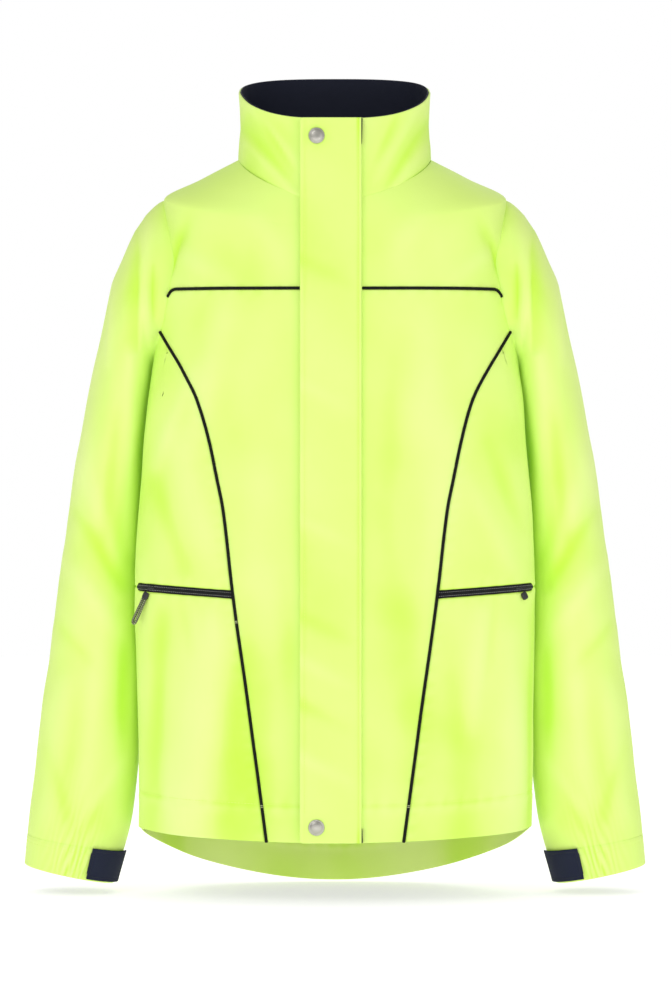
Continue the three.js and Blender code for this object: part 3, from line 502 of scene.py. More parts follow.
@dataclass
class SleeveForm(Form):
    """A left sleeve: rings that each span an inner and an outer point, from the armhole to the cuff.

    Height is the share of the way down, from 0 at the armhole to 1 at the cuff's edge.
    """

    length: float = 712
    band: float = 25

    def __post_init__(self) -> None:
        """Makes the curves of each measure against the share of the way down."""
        keys = (0, 0.02, 0.06, 0.13, 0.2, 0.28, 0.37, 0.46, 0.55, 0.64, 0.73, 0.82, 0.92, 1)
        self.span = Curve(keys, (-4, 4, 17, 30.5, 41.5, 50.5, 62, 71, 78, 87.5, 96.5, 105, 107, 95))
        self.out_z = Curve(keys, (319, 313, 290, 252, 214, 163, 100, 36, -28, -91, -155, -218, -310, -380))
        self.room = Curve(keys, (-1, 0.5, 1, 0.5, 0.5, -0.5, -2, -3, -2, -2, -2, 0, 9, 29))
        self.in_z = Curve(keys, (150, 147, 138, 118, 98, 70, 30, -25, -75, -125, -182, -238, -325, -400))
        self.half_y = Curve(keys, (58, 66, 74, 79, 82, 82, 80, 76, 71, 67, 62, 58, 53, 48))
        self.mid_y = Curve(keys, (-4, -2, 2, 7, 12, 16, 20, 22, 22, 20, 18, 16, 13, 12))

    @property
    def band_top(self) -> float:
        """The share at which the cuff band begins."""
        return 1 - self.band / self.length

    def steps(self) -> tuple[float, float]:
        """Steps for a surface that is measured from 0 to 1."""
        return 2e-3, 0.004

    def point(self, turn: Array, height: Array) -> Array:
        """A superellipse between the ring's inner and outer points, blended into the armhole's edge."""
        turn, height = np.broadcast_arrays(np.asarray(turn, float), np.asarray(height, float))
        t = np.clip(height, -0.01, 1.01)
        c, s = squircle(turn, 2.15)
        in_z = self.in_z(t)
        in_x = BODY.half(in_z) + self.room(t)
        share = (1 + c) / 2
        x = in_x + self.span(t) * share
        z = lerp(in_z, self.out_z(t), share)
        ring = np.stack([x, self.mid_y(t) + s * self.half_y(t), z], -1)
        v = BODY.hole_z + BODY.hole_height * np.cos(turn)
        arm = BODY.point(BODY.hole_angle * np.sin(turn), v)
        return lerp(arm, ring, np.clip(height / 0.06, 0, 1)[..., None])

    def shoulder_shift(self, turn: Array, t: Array, side: Side) -> Array:
        """What joins a sleeve to the draped body: the body's own lift at the armhole, and a tuck under.

        The lift fades over the first 30 mm; the tuck draws the first few millimetres inwards.

        Args:
            turn: Turn round the sleeve.
            t: Share of the way down.
            side: Which sleeve, since the body's folds differ.

        Returns:
            A vector at each point, drawn for the left sleeve.
        """
        angle = BODY.hole_angle * np.sin(turn)
        v = BODY.hole_z + BODY.hole_height * np.cos(turn)
        own = angle if side is Side.LEFT else math.pi - angle
        lift = DRAPE.body(own, v, BODY.point(own, v)) - 0.5
        n = BODY.normal(angle, v)
        tuck = (1 - ease(t / 0.0035))[..., None]
        shift = n * (lift * (1 - ease(t / 0.045)))[..., None]
        return shift - tuck * (n * 1.3 + np.array([2.5, 0, 0]))

    def normal(self, turn: Array, height: Array) -> Array:
        """The outward normal; height runs down here, so the sign turns."""
        return -super().normal(turn, height)

    def gathers(self, turn: Array, t: Array) -> Array:
        """Small pleats beside the tab and behind, deepest in the band and gone 70 mm above it."""
        above = (self.band_top - t) * self.length
        fade = np.where(above < 0, 1.0, np.exp(-np.maximum(above, 0) / 16))
        where = bell(turn + 1.66, 0.3) + 0.6 * bell(turn - 1.9, 0.6) + 0.05
        slant = above * 0.004
        fine = np.sin((turn + slant) * 83 + 2.1 * np.sin(turn * 9 + above / 9))
        broad = np.sin((turn + slant) * 47 - 1.6 * np.sin(turn * 13 - above / 14))
        broken = 0.65 + 0.35 * np.sin(above / 2.9 + 9 * np.sin(turn * 31))
        long = np.exp(-np.maximum(above - 4, 0) / 26) * bell(turn + 1.5, 0.45) * 0.5
        return 0.5 * fade * where * (fine * broken + 0.7 * broad) + 0.6 * long * broad

    def lift(self, turn: Array, t: Array, plain: Array) -> Array:
        """How far the cloth stands off its plain form: folds, gathers and the groove above the band."""
        calm = ease((self.band_top + 0.01 - t) / 0.05)
        seam = -0.3 * bell((t - self.band_top) * self.length, 1.4)
        return DRAPE.sleeve(plain, t) * calm + self.gathers(turn, t) + seam

    def draped(self, turn: Array, t: Array, side: Side, lift: float | Array = 0.0) -> Array:
        """A point of the draped cloth, with a further lift along the plain normal."""
        plain = self.point(turn, t)
        raised = plain + self.normal(turn, t) * (self.lift(turn, t, plain) + lift)[..., None]
        return raised + self.shoulder_shift(turn, t, side)


SLEEVE = SleeveForm()


# ---------------------------------------------------------------- meshes

UV_NAME = "Cloth"
# The fold values' attribute, from which the shell material paints highlight on ridges and shade in valleys.
FOLD_NAME = "fold"


def signed_volume(points: Array, faces: Sequence[Array]) -> float:
    """Six times the signed volume inside faces, from a fan of triangles on each face."""
    total = 0.0
    for quads in faces:
        a = points[quads[:, 0]]
        for k in range(1, quads.shape[1] - 1):
            b, c = points[quads[:, k]], points[quads[:, k + 1]]
            total += float(np.einsum("ij,ij->i", a, np.cross(b, c)).sum())
    return total


def mesh_object(
    name: str, points: Array, faces: Sequence[Array], uvs: Sequence[Array] | None = None,
    fold: Array | None = None,
) -> bpy.types.Object:
    """A closed, smooth object whose faces point out.

    Args:
        name: The piece's name.
        points: Vertices in metres, in the row frame.
        faces: Arrays of vertex numbers, one array for each number of corners.
        uvs: The corner coordinates of each array of faces, in metres of cloth.
        fold: How far each vertex stands on a ridge (above 0) or in a valley (below 0).

    Returns:
        The object, at the origin, linked to the scene.
    """
    if signed_volume(points, faces) < 0:
        faces = [f[:, ::-1] for f in faces]
        uvs = None if uvs is None else [u[:, ::-1] for u in uvs]
    mesh = bpy.data.meshes.new(name)
    mesh.vertices.add(len(points))
    mesh.vertices.foreach_set("co", np.ascontiguousarray(points, np.float32).ravel())
    loops = np.concatenate([f.ravel() for f in faces]).astype(np.int32)
    sizes = np.concatenate([np.full(len(f), f.shape[1]) for f in faces])
    mesh.loops.add(len(loops))
    mesh.loops.foreach_set("vertex_index", loops)
    mesh.polygons.add(len(sizes))
    mesh.polygons.foreach_set("loop_start", np.concatenate([[0], np.cumsum(sizes)[:-1]]).astype(np.int32))
    mesh.update(calc_edges=True)
    mesh.polygons.foreach_set("use_smooth", np.ones(len(sizes), bool))
    if uvs is not None:
        flat = np.concatenate([u.reshape(-1, 2) for u in uvs]).astype(np.float32)
        mesh.uv_layers.new(name=UV_NAME).data.foreach_set("uv", flat.ravel())
    if fold is not None:
        attribute = mesh.attributes.new(FOLD_NAME, "FLOAT", "POINT")
        attribute.data.foreach_set("value", np.asarray(fold, np.float32).ravel())
    mesh.validate()
    obj = bpy.data.objects.new(name, mesh)
    bpy.context.scene.collection.objects.link(obj)
    return obj


def grid_uv(top: Array, wrap: bool) -> Array:
    """Cloth coordinates of a grid in metres: the mean distance run along columns and along rows."""
    closed = np.concatenate([top, top[:, :1]], 1) if wrap else top
    across = np.linalg.norm(np.diff(closed, axis=1), axis=-1).mean(0)
    down = np.linalg.norm(np.diff(closed, axis=0), axis=-1).mean(1)
    u = np.concatenate([[0], np.cumsum(across)])
    v = np.concatenate([[0], np.cumsum(down)])
    return np.stack(np.meshgrid(u, v), -1)


def layered(
    name: str, top: Array, under: Array, wrap: bool = False, fold: Array | None = None
) -> bpy.types.Object:
    """A layer of cloth between two grids of points, closed round its border.

    Args:
        name: The piece's name.
        top: Rows by columns of points in metres.
        under: The same grid on the other face.
        wrap: Whether the columns close on themselves.
        fold: The grid's fold values.

    Returns:
        The object.
    """
    rows, cols = top.shape[:2]
    spans = cols if wrap else cols - 1
    uv = grid_uv(top, wrap)
    r, c = np.meshgrid(np.arange(rows - 1), np.arange(spans), indexing="ij")
    r, c = r.ravel(), c.ravel()
    cr, cc = np.zeros(spans, int), np.arange(spans)
    last = rows - 1

    def quads(corners: Sequence[tuple[int, Array, Array]]) -> tuple[Array, Array]:
        ids = [layer * rows * cols + a * cols + b % cols for layer, a, b in corners]
        return np.stack(ids, 1), np.stack([uv[a, b] for _, a, b in corners], 1)

    parts = [
        quads([(0, r, c), (0, r, c + 1), (0, r + 1, c + 1), (0, r + 1, c)]),
        quads([(1, r, c), (1, r + 1, c), (1, r + 1, c + 1), (1, r, c + 1)]),
        quads([(1, cr, cc), (1, cr, cc + 1), (0, cr, cc + 1), (0, cr, cc)]),
        quads([(0, cr + last, cc), (0, cr + last, cc + 1), (1, cr + last, cc + 1), (1, cr + last, cc)]),
    ]
    if not wrap:
        q, z = np.arange(rows - 1), np.zeros(rows - 1, int)
        end = z + cols - 1
        parts += [
            quads([(0, q, z), (0, q + 1, z), (1, q + 1, z), (1, q, z)]),
            quads([(1, q, end), (1, q + 1, end), (0, q + 1, end), (0, q, end)]),
        ]
    faces = np.concatenate([p[0] for p in parts])
    uvs = np.concatenate([p[1] for p in parts])
    points = np.concatenate([top.reshape(-1, 3), under.reshape(-1, 3)])
    values = None if fold is None else np.concatenate([fold.ravel(), fold.ravel()])
    return mesh_object(name, points, [faces], [uvs], values)


def tube(
    name: str, path: Array, normals: Array, radius: float | Array, sides: int = 12, flat: float = 1.0
) -> bpy.types.Object:
    """A round bar along a path with domed ends.

    Each ring is centre + radius (cos a normal + flat sin a sideways); the ends close on a pole.

    Args:
        name: The piece's name.
        path: Points in metres.
        normals: A direction at each point that lies across the path.
        radius: The radius in metres, or one for each point.
        sides: Corners of a ring.
        flat: How much wider than high the section is.

    Returns:
        The object.
    """
    radius = np.broadcast_to(np.asarray(radius, float), len(path))
    tangent = unit(np.gradient(path, axis=0))
    n = unit(normals - (normals * tangent).sum(-1, keepdims=True) * tangent)
    b = np.cross(tangent, n)
    ends = np.array([0.62, 0.92])
    start = path[:1] - tangent[:1] * radius[0] * np.array([[0.62], [0.3]])
    stop = path[-1:] + tangent[-1:] * radius[-1] * np.array([[0.3], [0.62]])
    centres = np.concatenate([start, path, stop])
    radii = np.concatenate([radius[0] * ends, radius, radius[-1] * ends[::-1]])
    n = np.concatenate([n[:1], n[:1], n, n[-1:], n[-1:]])
    b = np.concatenate([b[:1], b[:1], b, b[-1:], b[-1:]])
    a = np.arange(sides) * TAU / sides
    ring = np.cos(a)[None, :, None] * n[:, None] + flat * np.sin(a)[None, :, None] * b[:, None]
    body = centres[:, None] + radii[:, None, None] * ring
    rows = len(centres)
    poles = np.stack([path[0] - tangent[0] * radius[0] * 0.78, path[-1] + tangent[-1] * radius[-1] * 0.78])
    points = np.concatenate([body.reshape(-1, 3), poles])
    run = np.concatenate([[0], np.cumsum(np.linalg.norm(np.diff(centres, axis=0), axis=-1))])
    r, c = (x.ravel() for x in np.meshgrid(np.arange(rows - 1), np.arange(sides), indexing="ij"))
    around = float(radius.mean()) * TAU / sides

    def uv(rr: Array, c_: Array) -> Array:
        return np.stack([c_ * around, run[rr]], -1)

    quads = np.stack([r * sides + c, r * sides + (c + 1) % sides, (r + 1) * sides + (c + 1) % sides,
                      (r + 1) * sides + c], 1)
    quad_uv = np.stack([uv(r, c), uv(r, c + 1), uv(r + 1, c + 1), uv(r + 1, c)], 1)
    k = np.arange(sides)
    z, e = np.zeros(sides, int), np.full(sides, rows - 1)
    caps = np.concatenate([
        np.stack([np.full(sides, rows * sides), (k + 1) % sides, k], 1),
        np.stack([np.full(sides, rows * sides + 1), e * sides + k, e * sides + (k + 1) % sides], 1),
    ])
    cap_uv = np.concatenate([
        np.stack([uv(z, k), uv(z, k + 1), uv(z, k)], 1), np.stack([uv(e, k), uv(e, k), uv(e, k + 1)], 1),
    ])
    return mesh_object(name, points, [quads, caps], [quad_uv, cap_uv])


def turned(profile: Array, sides: int) -> tuple[Array, list[Array]]:
    """A closed turned solid about Z: rings of the profile's radii and heights, with a pole at each end.

    Args:
        profile: Rows of (radius, height), from the lower pole's ring to the upper pole's ring.
        sides: Corners of a ring.

    Returns:
        Points about the origin, and faces.
    """
    a = np.arange(sides) * TAU / sides
    rows = len(profile)
    r, z = profile[:, :1], profile[:, 1:]
    rings = np.stack([r * np.cos(a), r * np.sin(a), np.broadcast_to(z, (rows, sides))], -1)
    points = np.concatenate([rings.reshape(-1, 3), [[0, 0, profile[0, 1]]], [[0, 0, profile[-1, 1]]]])
    q, c = (x.ravel() for x in np.meshgrid(np.arange(rows - 1), np.arange(sides), indexing="ij"))
    d = (c + 1) % sides
    k = np.arange(sides)
    quads = np.stack([q * sides + c, q * sides + d, (q + 1) * sides + d, (q + 1) * sides + c], 1)
    caps = np.concatenate([
        np.stack([np.full(sides, rows * sides), (k + 1) % sides, k], 1),
        np.stack([np.full(sides, rows * sides + 1), (rows - 1) * sides + k,
                  (rows - 1) * sides + (k + 1) % sides], 1),
    ])
    return points, [quads, caps]


def repeated(
    name: str, points: Array, faces: Sequence[Array], origins: Array, axes: Array
) -> bpy.types.Object:
    """Many copies of one small solid in one mesh.

    Args:
        name: The piece's name.
        points: The solid's points about its own origin.
        faces: Its faces.
        origins: Where each copy stands.
        axes: Each copy's own x, y and z directions, as rows of a 3 by 3 matrix.

    Returns:
        The object: copy m's point is origin + x axis 1 + y axis 2 + z axis 3.
    """
    placed = np.einsum("pk,mkj->mpj", points, axes) + origins[:, None]
    shift = np.arange(len(origins))[:, None, None] * len(points)
    many = [(f[None] + shift).reshape(-1, f.shape[1]) for f in faces]
    return mesh_object(name, placed.reshape(-1, 3), many)


def thread_stitches(
    name: str, path: Array, normals: Array, pitch: float = 0.0034, size: float = 0.00032,
    cover: float = 0.8,
) -> bpy.types.Object:
    """A row of thread stitches along a path, each a short rounded bar that dips into the cloth.

    Args:
        name: The piece's name.
        path: Points in metres on the cloth.
        normals: The cloth's outward directions there.
        pitch: From one stitch to the next.
        size: The thread's radius.
        cover: The share of the pitch that the thread shows for.

    Returns:
        The object.
    """
    run = np.concatenate([[0], np.cumsum(np.linalg.norm(np.diff(path, axis=0), axis=-1))])
    count = max(2, int(run[-1] / pitch))
    at = (np.arange(count) + 0.5) * run[-1] / count
    spot = np.stack([np.interp(at, run, path[:, k]) for k in range(3)], -1)
    ahead = np.stack([np.interp(at + pitch / 4, run, path[:, k]) for k in range(3)], -1)
    up = np.stack([np.interp(at, run, normals[:, k]) for k in range(3)], -1)
    t = unit(ahead - spot)
    t = np.where(np.linalg.norm(ahead - spot, axis=-1, keepdims=True) < 1e-7, np.roll(t, 1, 0), t)
    n = unit(up - (up * t).sum(-1, keepdims=True) * t)
    long = pitch * cover
    profile = np.array([[0.35, -0.5], [0.9, -0.4], [1.0, 0.0], [0.9, 0.4], [0.35, 0.5]])
    solid, faces = turned(profile * [size, long], 6)
    solid[:, 0] -= size * 1.1 * (2 * solid[:, 2] / long) ** 2
    axes = np.stack([n, np.cross(t, n), t], 1)
    return repeated(name, solid, faces, spot + n * size * 0.55, axes)


# ---------------------------------------------------------------- materials


class Wire:
    """A socket's value in a material, on which +, -, *, / and ** add Math nodes."""

    def __init__(self, graph: "Graph", socket: bpy.types.NodeSocket) -> None:
        """Keeps the graph and the socket."""
        self.graph, self.socket = graph, socket

    def _math(self, operation: str, a: "Wire | float", b: "Wire | float") -> "Wire":
        return self.graph.value("ShaderNodeMath", {"operation": operation}, {0: a, 1: b})

    def __add__(self, other: "Wire | float") -> "Wire":
        """This plus other."""
        return self._math("ADD", self, other)

    __radd__ = __add__

    def __sub__(self, other: "Wire | float") -> "Wire":
        """This minus other."""
        return self._math("SUBTRACT", self, other)

    def __rsub__(self, other: float) -> "Wire":
        """Other minus this."""
        return self._math("SUBTRACT", other, self)

    def __mul__(self, other: "Wire | float") -> "Wire":
        """This times other."""
        return self._math("MULTIPLY", self, other)

    __rmul__ = __mul__

    def __truediv__(self, other: "Wire | float") -> "Wire":
        """This divided by other."""
        return self._math("DIVIDE", self, other)

    def __rtruediv__(self, other: float) -> "Wire":
        """Other divided by this."""
        return self._math("DIVIDE", other, self)

    def __pow__(self, other: "Wire | float") -> "Wire":
        """This to the power of other."""
        return self._math("POWER", self, other)

    def sine(self) -> "Wire":
        """The sine."""
        return self._math("SINE", self, 0.0)

    def size(self) -> "Wire":
        """The value without its sign."""
        return self._math("ABSOLUTE", self, 0.0)

    def above(self, limit: float) -> "Wire":
        """1 where the value is above the limit, else 0."""
        return self._math("GREATER_THAN", self, limit)


Value = Wire | float | tuple


class Graph:
    """A material's nodes, round one Principled shader."""

    def __init__(self, name: str) -> None:
        """Starts the material with its shader and output."""
        self.material = bpy.data.materials.new(name)
        self.material.use_nodes = True
        self.tree = self.material.node_tree
        self.tree.nodes.clear()
        self.shader = self.node("ShaderNodeBsdfPrincipled", {}, {})
        output = self.node("ShaderNodeOutputMaterial", {}, {})
        self.tree.links.new(self.shader.outputs[0], output.inputs[0])

    def node(self, kind: str, settings: dict, values: dict) -> bpy.types.Node:
        """Adds a node.

        Args:
            kind: The node's type.
            settings: Its own settings, such as a Math node's operation, or a ramp's stops.
            values: Wires, numbers or colours for its sockets, by name or number.

        Returns:
            The node.
        """
        made = self.tree.nodes.new(kind)
        for key, value in settings.items():
            if key == "stops":
                ramp = made.color_ramp
                while len(ramp.elements) < len(value):
                    ramp.elements.new(0.5)
                for element, (place, colour) in zip(ramp.elements, value):
                    element.position, element.color = place, (*colour, 1)
            else:
                setattr(made, key, value)
        for key, value in values.items():
            self.set(made.inputs[key], value)
        return made

    def value(self, kind: str, settings: dict, values: dict, output: int | str = 0) -> Wire:
        """Adds a node and gives the wire of one of its outputs."""
        return Wire(self, self.node(kind, settings, values).outputs[output])

    def set(self, socket: bpy.types.NodeSocket, value: Value) -> None:
        """Links a wire to a socket, or sets its number or colour."""
        if isinstance(value, Wire):
            self.tree.links.new(value.socket, socket)
        elif isinstance(value, tuple) and len(value) == 3 and socket.type == "RGBA":
            socket.default_value = (*value, 1)
        else:
            socket.default_value = value

    def coordinates(self, own: bool = False) -> Wire:
        """Object coordinates, or the piece's own cloth coordinates."""
        if own:
            return self.value("ShaderNodeUVMap", {"uv_map": UV_NAME}, {})
        return self.value("ShaderNodeTexCoord", {}, {}, "Object")

    def parts(self, vector: Wire) -> tuple[Wire, Wire]:
        """The first two numbers of a vector."""
        split = self.node("ShaderNodeSeparateXYZ", {}, {0: vector})
        return Wire(self, split.outputs[0]), Wire(self, split.outputs[1])

    def noise(self, scale: float, detail: float = 3.0, own: bool = False, rough: float = 0.5) -> Wire:
        """Smooth noise of that many lumps to a metre."""
        values = {"Vector": self.coordinates(own), "Scale": scale, "Detail": detail, "Roughness": rough}
        return self.value("ShaderNodeTexNoise", {}, values, "Fac")

    def ramp(self, wire: Wire, stops: Sequence[tuple[float, tuple]]) -> Wire:
        """A colour from a value by stops."""
        return self.value("ShaderNodeValToRGB", {"stops": stops}, {0: wire})

    def mixed(self, share: Wire | float, a: Wire | tuple, b: Wire | tuple, how: str = "MIX") -> Wire:
        """Two colours mixed."""
        node = self.node("ShaderNodeMix", {"data_type": "RGBA", "blend_type": how}, {0: share})
        self.set(node.inputs[6], a)
        self.set(node.inputs[7], b)
        return Wire(self, node.outputs[2])

    def weave(self, pitch: float, across: float = 1.0) -> Wire:
        """Threads over and under: sine across times sine along, from 0 to 1, at that pitch in metres."""
        u, v = self.parts(self.coordinates(own=True))
        step = TAU / pitch
        return ((u * step).sine() * (v * (step * across)).sine()) * 0.5 + 0.5

    def bump(self, height: Wire, distance: float, strength: float = 1.0, under: Wire | None = None) -> Wire:
        """A Bump node's normal."""
        values = {"Height": height, "Distance": distance, "Strength": strength}
        if under is not None:
            values["Normal"] = under
        return self.value("ShaderNodeBump", {}, values)

    def finish(self, colour: Value, roughness: Value, normal: Wire | None = None,
               **constants: float | tuple) -> bpy.types.Material:
        """Sets the shader's sockets.

        Args:
            colour: Base colour.
            roughness: Roughness.
            normal: The bumped normal.
            constants: Other sockets, named with _ for each space.

        Returns:
            The material.
        """
        self.set(self.shader.inputs["Base Color"], colour)
        self.set(self.shader.inputs["Roughness"], roughness)
        if normal is not None:
            self.set(self.shader.inputs["Normal"], normal)
        for key, value in constants.items():
            self.set(self.shader.inputs[key.replace("_", " ")], value)
        return self.material


@dataclass(frozen=True)
class FluorescentCloth:
    """The shell: fluorescent polyester, finely woven, with painted highlight on its ridges, painted shade
    (greener) in its valleys and a faint emission of painted light.
    """

    # ridge is a painted highlight colour and valley a painted shade colour; plain lies between them.
    ridge: tuple = (0.80, 0.96, 0.32)
    plain: tuple = (0.72, 0.94, 0.215)
    valley: tuple = (0.55, 0.90, 0.035)
    glow: float = 0.05

    def make(self, name: str = "shell_cloth") -> bpy.types.Material:
        """The material."""
        g = Graph(name)
        fold = g.value("ShaderNodeAttribute", {"attribute_name": FOLD_NAME}, {}, "Fac")
        cloud = g.noise(14, 4)
        share = fold * 0.42 + 0.55 + (cloud - 0.5) * 0.25
        # Painted light and shade: the fold values pick the paler colour on ridges and the darker, greener
        # one in valleys; the cloud varies the tone at random.
        colour = g.ramp(share, [(0.1, self.valley), (0.5, self.plain), (0.95, self.ridge)])
        threads = g.weave(0.0011)
        colour = g.mixed(threads * 0.07, colour, (0.55, 0.82, 0.04))
        crease = g.bump(g.noise(70, 5, rough=0.6), 0.0005, 0.5)
        normal = g.bump(threads, 0.00012, 0.6, crease)
        rough = 0.56 + g.noise(140, 2) * 0.12
        # The emission is constant painted light that lifts the shade towards green-yellow, standing in for
        # the cloth's fluorescence.
        return g.finish(colour, rough, normal, Specular_IOR_Level=0.32, Sheen_Weight=0.12,
                        Sheen_Roughness=0.5, Emission_Color=(0.62, 0.95, 0.03),
                        Emission_Strength=self.glow)


@dataclass(frozen=True)
class WovenCloth:
    """A plain woven cloth or tape: threads at a pitch, with a painted highlight where they stand up."""

    colour: tuple
    # light is the painted highlight colour of the raised threads.
    light: tuple
    pitch: float = 0.0006
    across: float = 1.0
    roughness: float = 0.8
    depth: float = 0.0002
    sheen: float = 0.1
    crumple: float = 60

    def make(self, name: str) -> bpy.types.Material:
        """The material."""
        g = Graph(name)
        threads = g.weave(self.pitch, self.across)
        cloud = g.noise(28, 4)
        # Painted highlight: the raised threads are mixed towards the light colour, by an amount that varies
        # at random.
        colour = g.mixed(threads * (0.35 + cloud * 0.5), self.colour, self.light)
        crease = g.bump(g.noise(self.crumple, 4), 0.0008, 0.35)
        normal = g.bump(threads, self.depth, 0.9, crease)
        return g.finish(colour, self.roughness - 0.08 + cloud * 0.14, normal, Specular_IOR_Level=0.16,
                        Sheen_Weight=self.sheen)


@dataclass(frozen=True)
class TwistedCord:
    """A round braid: strands that cross slantwise with a painted highlight where they stand up, and pale
    reflective flecks where they are wanted.
    """

    colour: tuple
    light: tuple
    fleck: tuple | None = None
    pitch: float = 0.0022
    roughness: float = 0.7

    def make(self, name: str) -> bpy.types.Material:
        """The material."""
        g = Graph(name)
        u, v = g.parts(g.coordinates(own=True))
        step = TAU / self.pitch
        one, two = ((u + v) * step).sine(), ((u - v) * step).sine()
        strands = (one * two) * 0.5 + 0.5
        # Painted highlight: where the strands stand up they are mixed towards the light colour.
        colour = g.mixed(strands, self.colour, self.light)
        if self.fleck is not None:
            spots = ((u * (step * 1.1)).sine() * (v * (step * 1.1)).sine()).above(0.18)
            colour = g.mixed(spots, colour, self.fleck)
        return g.finish(colour, self.roughness - strands * 0.12, g.bump(strands, 0.0003, 0.9),
                        Specular_IOR_Level=0.14)


@dataclass(frozen=True)
class HookTape:
    """Hook and loop tape: a dense pile of tiny tufts, with painted highlight on their tops and painted shade
    between them.
    """

    colour: tuple = (0.016, 0.017, 0.022)

    def make(self, name: str = "hook_and_loop") -> bpy.types.Material:
        """The material."""
        g = Graph(name)
        values = {"Vector": g.coordinates(), "Scale": 900.0}
        tufts = g.value("ShaderNodeTexVoronoi", {}, values, "Distance")
        # Painted light: paler at the middle of each tuft, which the bump raises, and darker between tufts as
        # painted shade.
        colour = g.ramp(tufts, [(0.1, (0.06, 0.06, 0.075)), (0.6, self.colour)])
        return g.finish(colour, 0.9 - g.noise(300) * 0.1, g.bump(1 - tufts, 0.0006, 1.0),
                        Sheen_Weight=0.3)


@dataclass(frozen=True)
class CastMetal:
    """Painted or nickelled die-cast metal with fine handling marks."""

    colour: tuple
    worn: tuple
    metallic: float
    roughness: float

    def make(self, name: str) -> bpy.types.Material:
        """The material."""
        g = Graph(name)
        marks = g.noise(900, 5, rough=0.7)
        cloud = g.noise(160, 3)
        colour = g.mixed(cloud * 0.6, self.colour, self.worn)
        rough = self.roughness + (marks - 0.5) * 0.2 + cloud * 0.06
        return g.finish(colour, rough, g.bump(marks, 0.00006, 0.7), Metallic=self.metallic)


@dataclass(frozen=True)
class MouldedPlastic:
    """Moulded plastic with a faint spark-eroded grain."""

    colour: tuple
    roughness: float = 0.42

    def make(self, name: str) -> bpy.types.Material:
        """The material."""
        g = Graph(name)
        grain = g.noise(1800, 3)
        lift = tuple(min(1.0, c * 1.5 + 0.004) for c in self.colour)
        colour = g.mixed(g.noise(90, 3) * 0.5, self.colour, lift)
        return g.finish(colour, self.roughness + (grain - 0.5) * 0.16, g.bump(grain, 0.00008, 0.7))


class Finish(Enum):
    """Each finish of the jacket with its recipe; its name in small letters is its material's name."""

    SHELL_CLOTH = FluorescentCloth()
    LINING_CLOTH = WovenCloth((0.009, 0.011, 0.024), (0.02, 0.024, 0.045), 0.0009, roughness=0.58, sheen=0.0)
    PIPING = TwistedCord((0.003, 0.004, 0.003), (0.011, 0.013, 0.009))
    ZIP_TAPE = WovenCloth((0.004, 0.004, 0.005), (0.018, 0.018, 0.02), 0.0012, 0.5, 0.6, 0.0003, 0.0)
    ZIP_CHAIN = MouldedPlastic((0.01, 0.01, 0.012))
    ZIP_SLIDER = CastMetal((0.022, 0.022, 0.026), (0.07, 0.07, 0.078), 0.35, 0.38)
    PULL_END = MouldedPlastic((0.018, 0.018, 0.021), 0.5)
    POCKET_CLOTH = WovenCloth((0.018, 0.02, 0.03), (0.05, 0.055, 0.07), 0.0022, roughness=0.85, depth=0.0004)
    SNAP_METAL = CastMetal((0.40, 0.385, 0.345), (0.52, 0.505, 0.46), 1.0, 0.36)
    TAB_CLOTH = WovenCloth((0.012, 0.015, 0.036), (0.024, 0.03, 0.062), 0.0014, 0.6, 0.75, 0.0003, 0.0)
    HOOK_AND_LOOP = HookTape()
    ELASTIC = WovenCloth((0.02, 0.021, 0.026), (0.06, 0.062, 0.07), 0.0024, 0.3, 0.85, 0.0006)
    CORD = TwistedCord((0.006, 0.007, 0.006), (0.02, 0.02, 0.02), (0.5, 0.56, 0.3), 0.0026, 0.6)
    LOOP_TAPE = WovenCloth((0.014, 0.017, 0.032), (0.05, 0.055, 0.08), 0.0013, 0.5, 0.8, 0.0004)


THREAD_FINISHES = {
    "grey": WovenCloth((0.30, 0.30, 0.30), (0.55, 0.55, 0.54), 0.0005),
    "yellow": WovenCloth((0.70, 0.93, 0.14), (0.86, 0.99, 0.36), 0.0005),
    "navy": WovenCloth((0.012, 0.014, 0.03), (0.05, 0.055, 0.08), 0.0005),
    "pale": WovenCloth((0.5, 0.56, 0.3), (0.7, 0.75, 0.45), 0.0005),
}


class Wardrobe:
    """Makes each material once."""

    def __init__(self) -> None:
        """Starts with none made."""
        self.made: dict[str, bpy.types.Material] = {}

    def of(self, finish: Finish) -> bpy.types.Material:
        """The material of a finish."""
        name = finish.name.lower()
        if name not in self.made:
            self.made[name] = finish.value.make(name)
        return self.made[name]

    def thread(self, colour: str) -> bpy.types.Material:
        """The material of a sewing thread."""
        name = f"thread_{colour}"
        if name not in self.made:
            self.made[name] = THREAD_FINISHES[colour].make(name)
        return self.made[name]

    def dress(self, obj: bpy.types.Object, finish: Finish) -> bpy.types.Object:
        """Gives a new piece its material."""
        obj.data.materials.clear()
        obj.data.materials.append(self.of(finish))
        return obj

    def sewn(self, obj: bpy.types.Object, colour: str, slot: Finish) -> bpy.types.Object:
        """Gives a row of stitches its thread."""
        obj.data.materials.append(self.thread(colour))
        return obj


WARDROBE = Wardrobe()


def cloth_area(grid: Array) -> float:
    """The area of a grid of points: half of each cell's crossed diagonals, summed."""
    a = grid[1:, 1:] - grid[:-1, :-1]
    b = grid[1:, :-1] - grid[:-1, 1:]
    return float(np.linalg.norm(np.cross(a, b), axis=-1).sum() / 2)


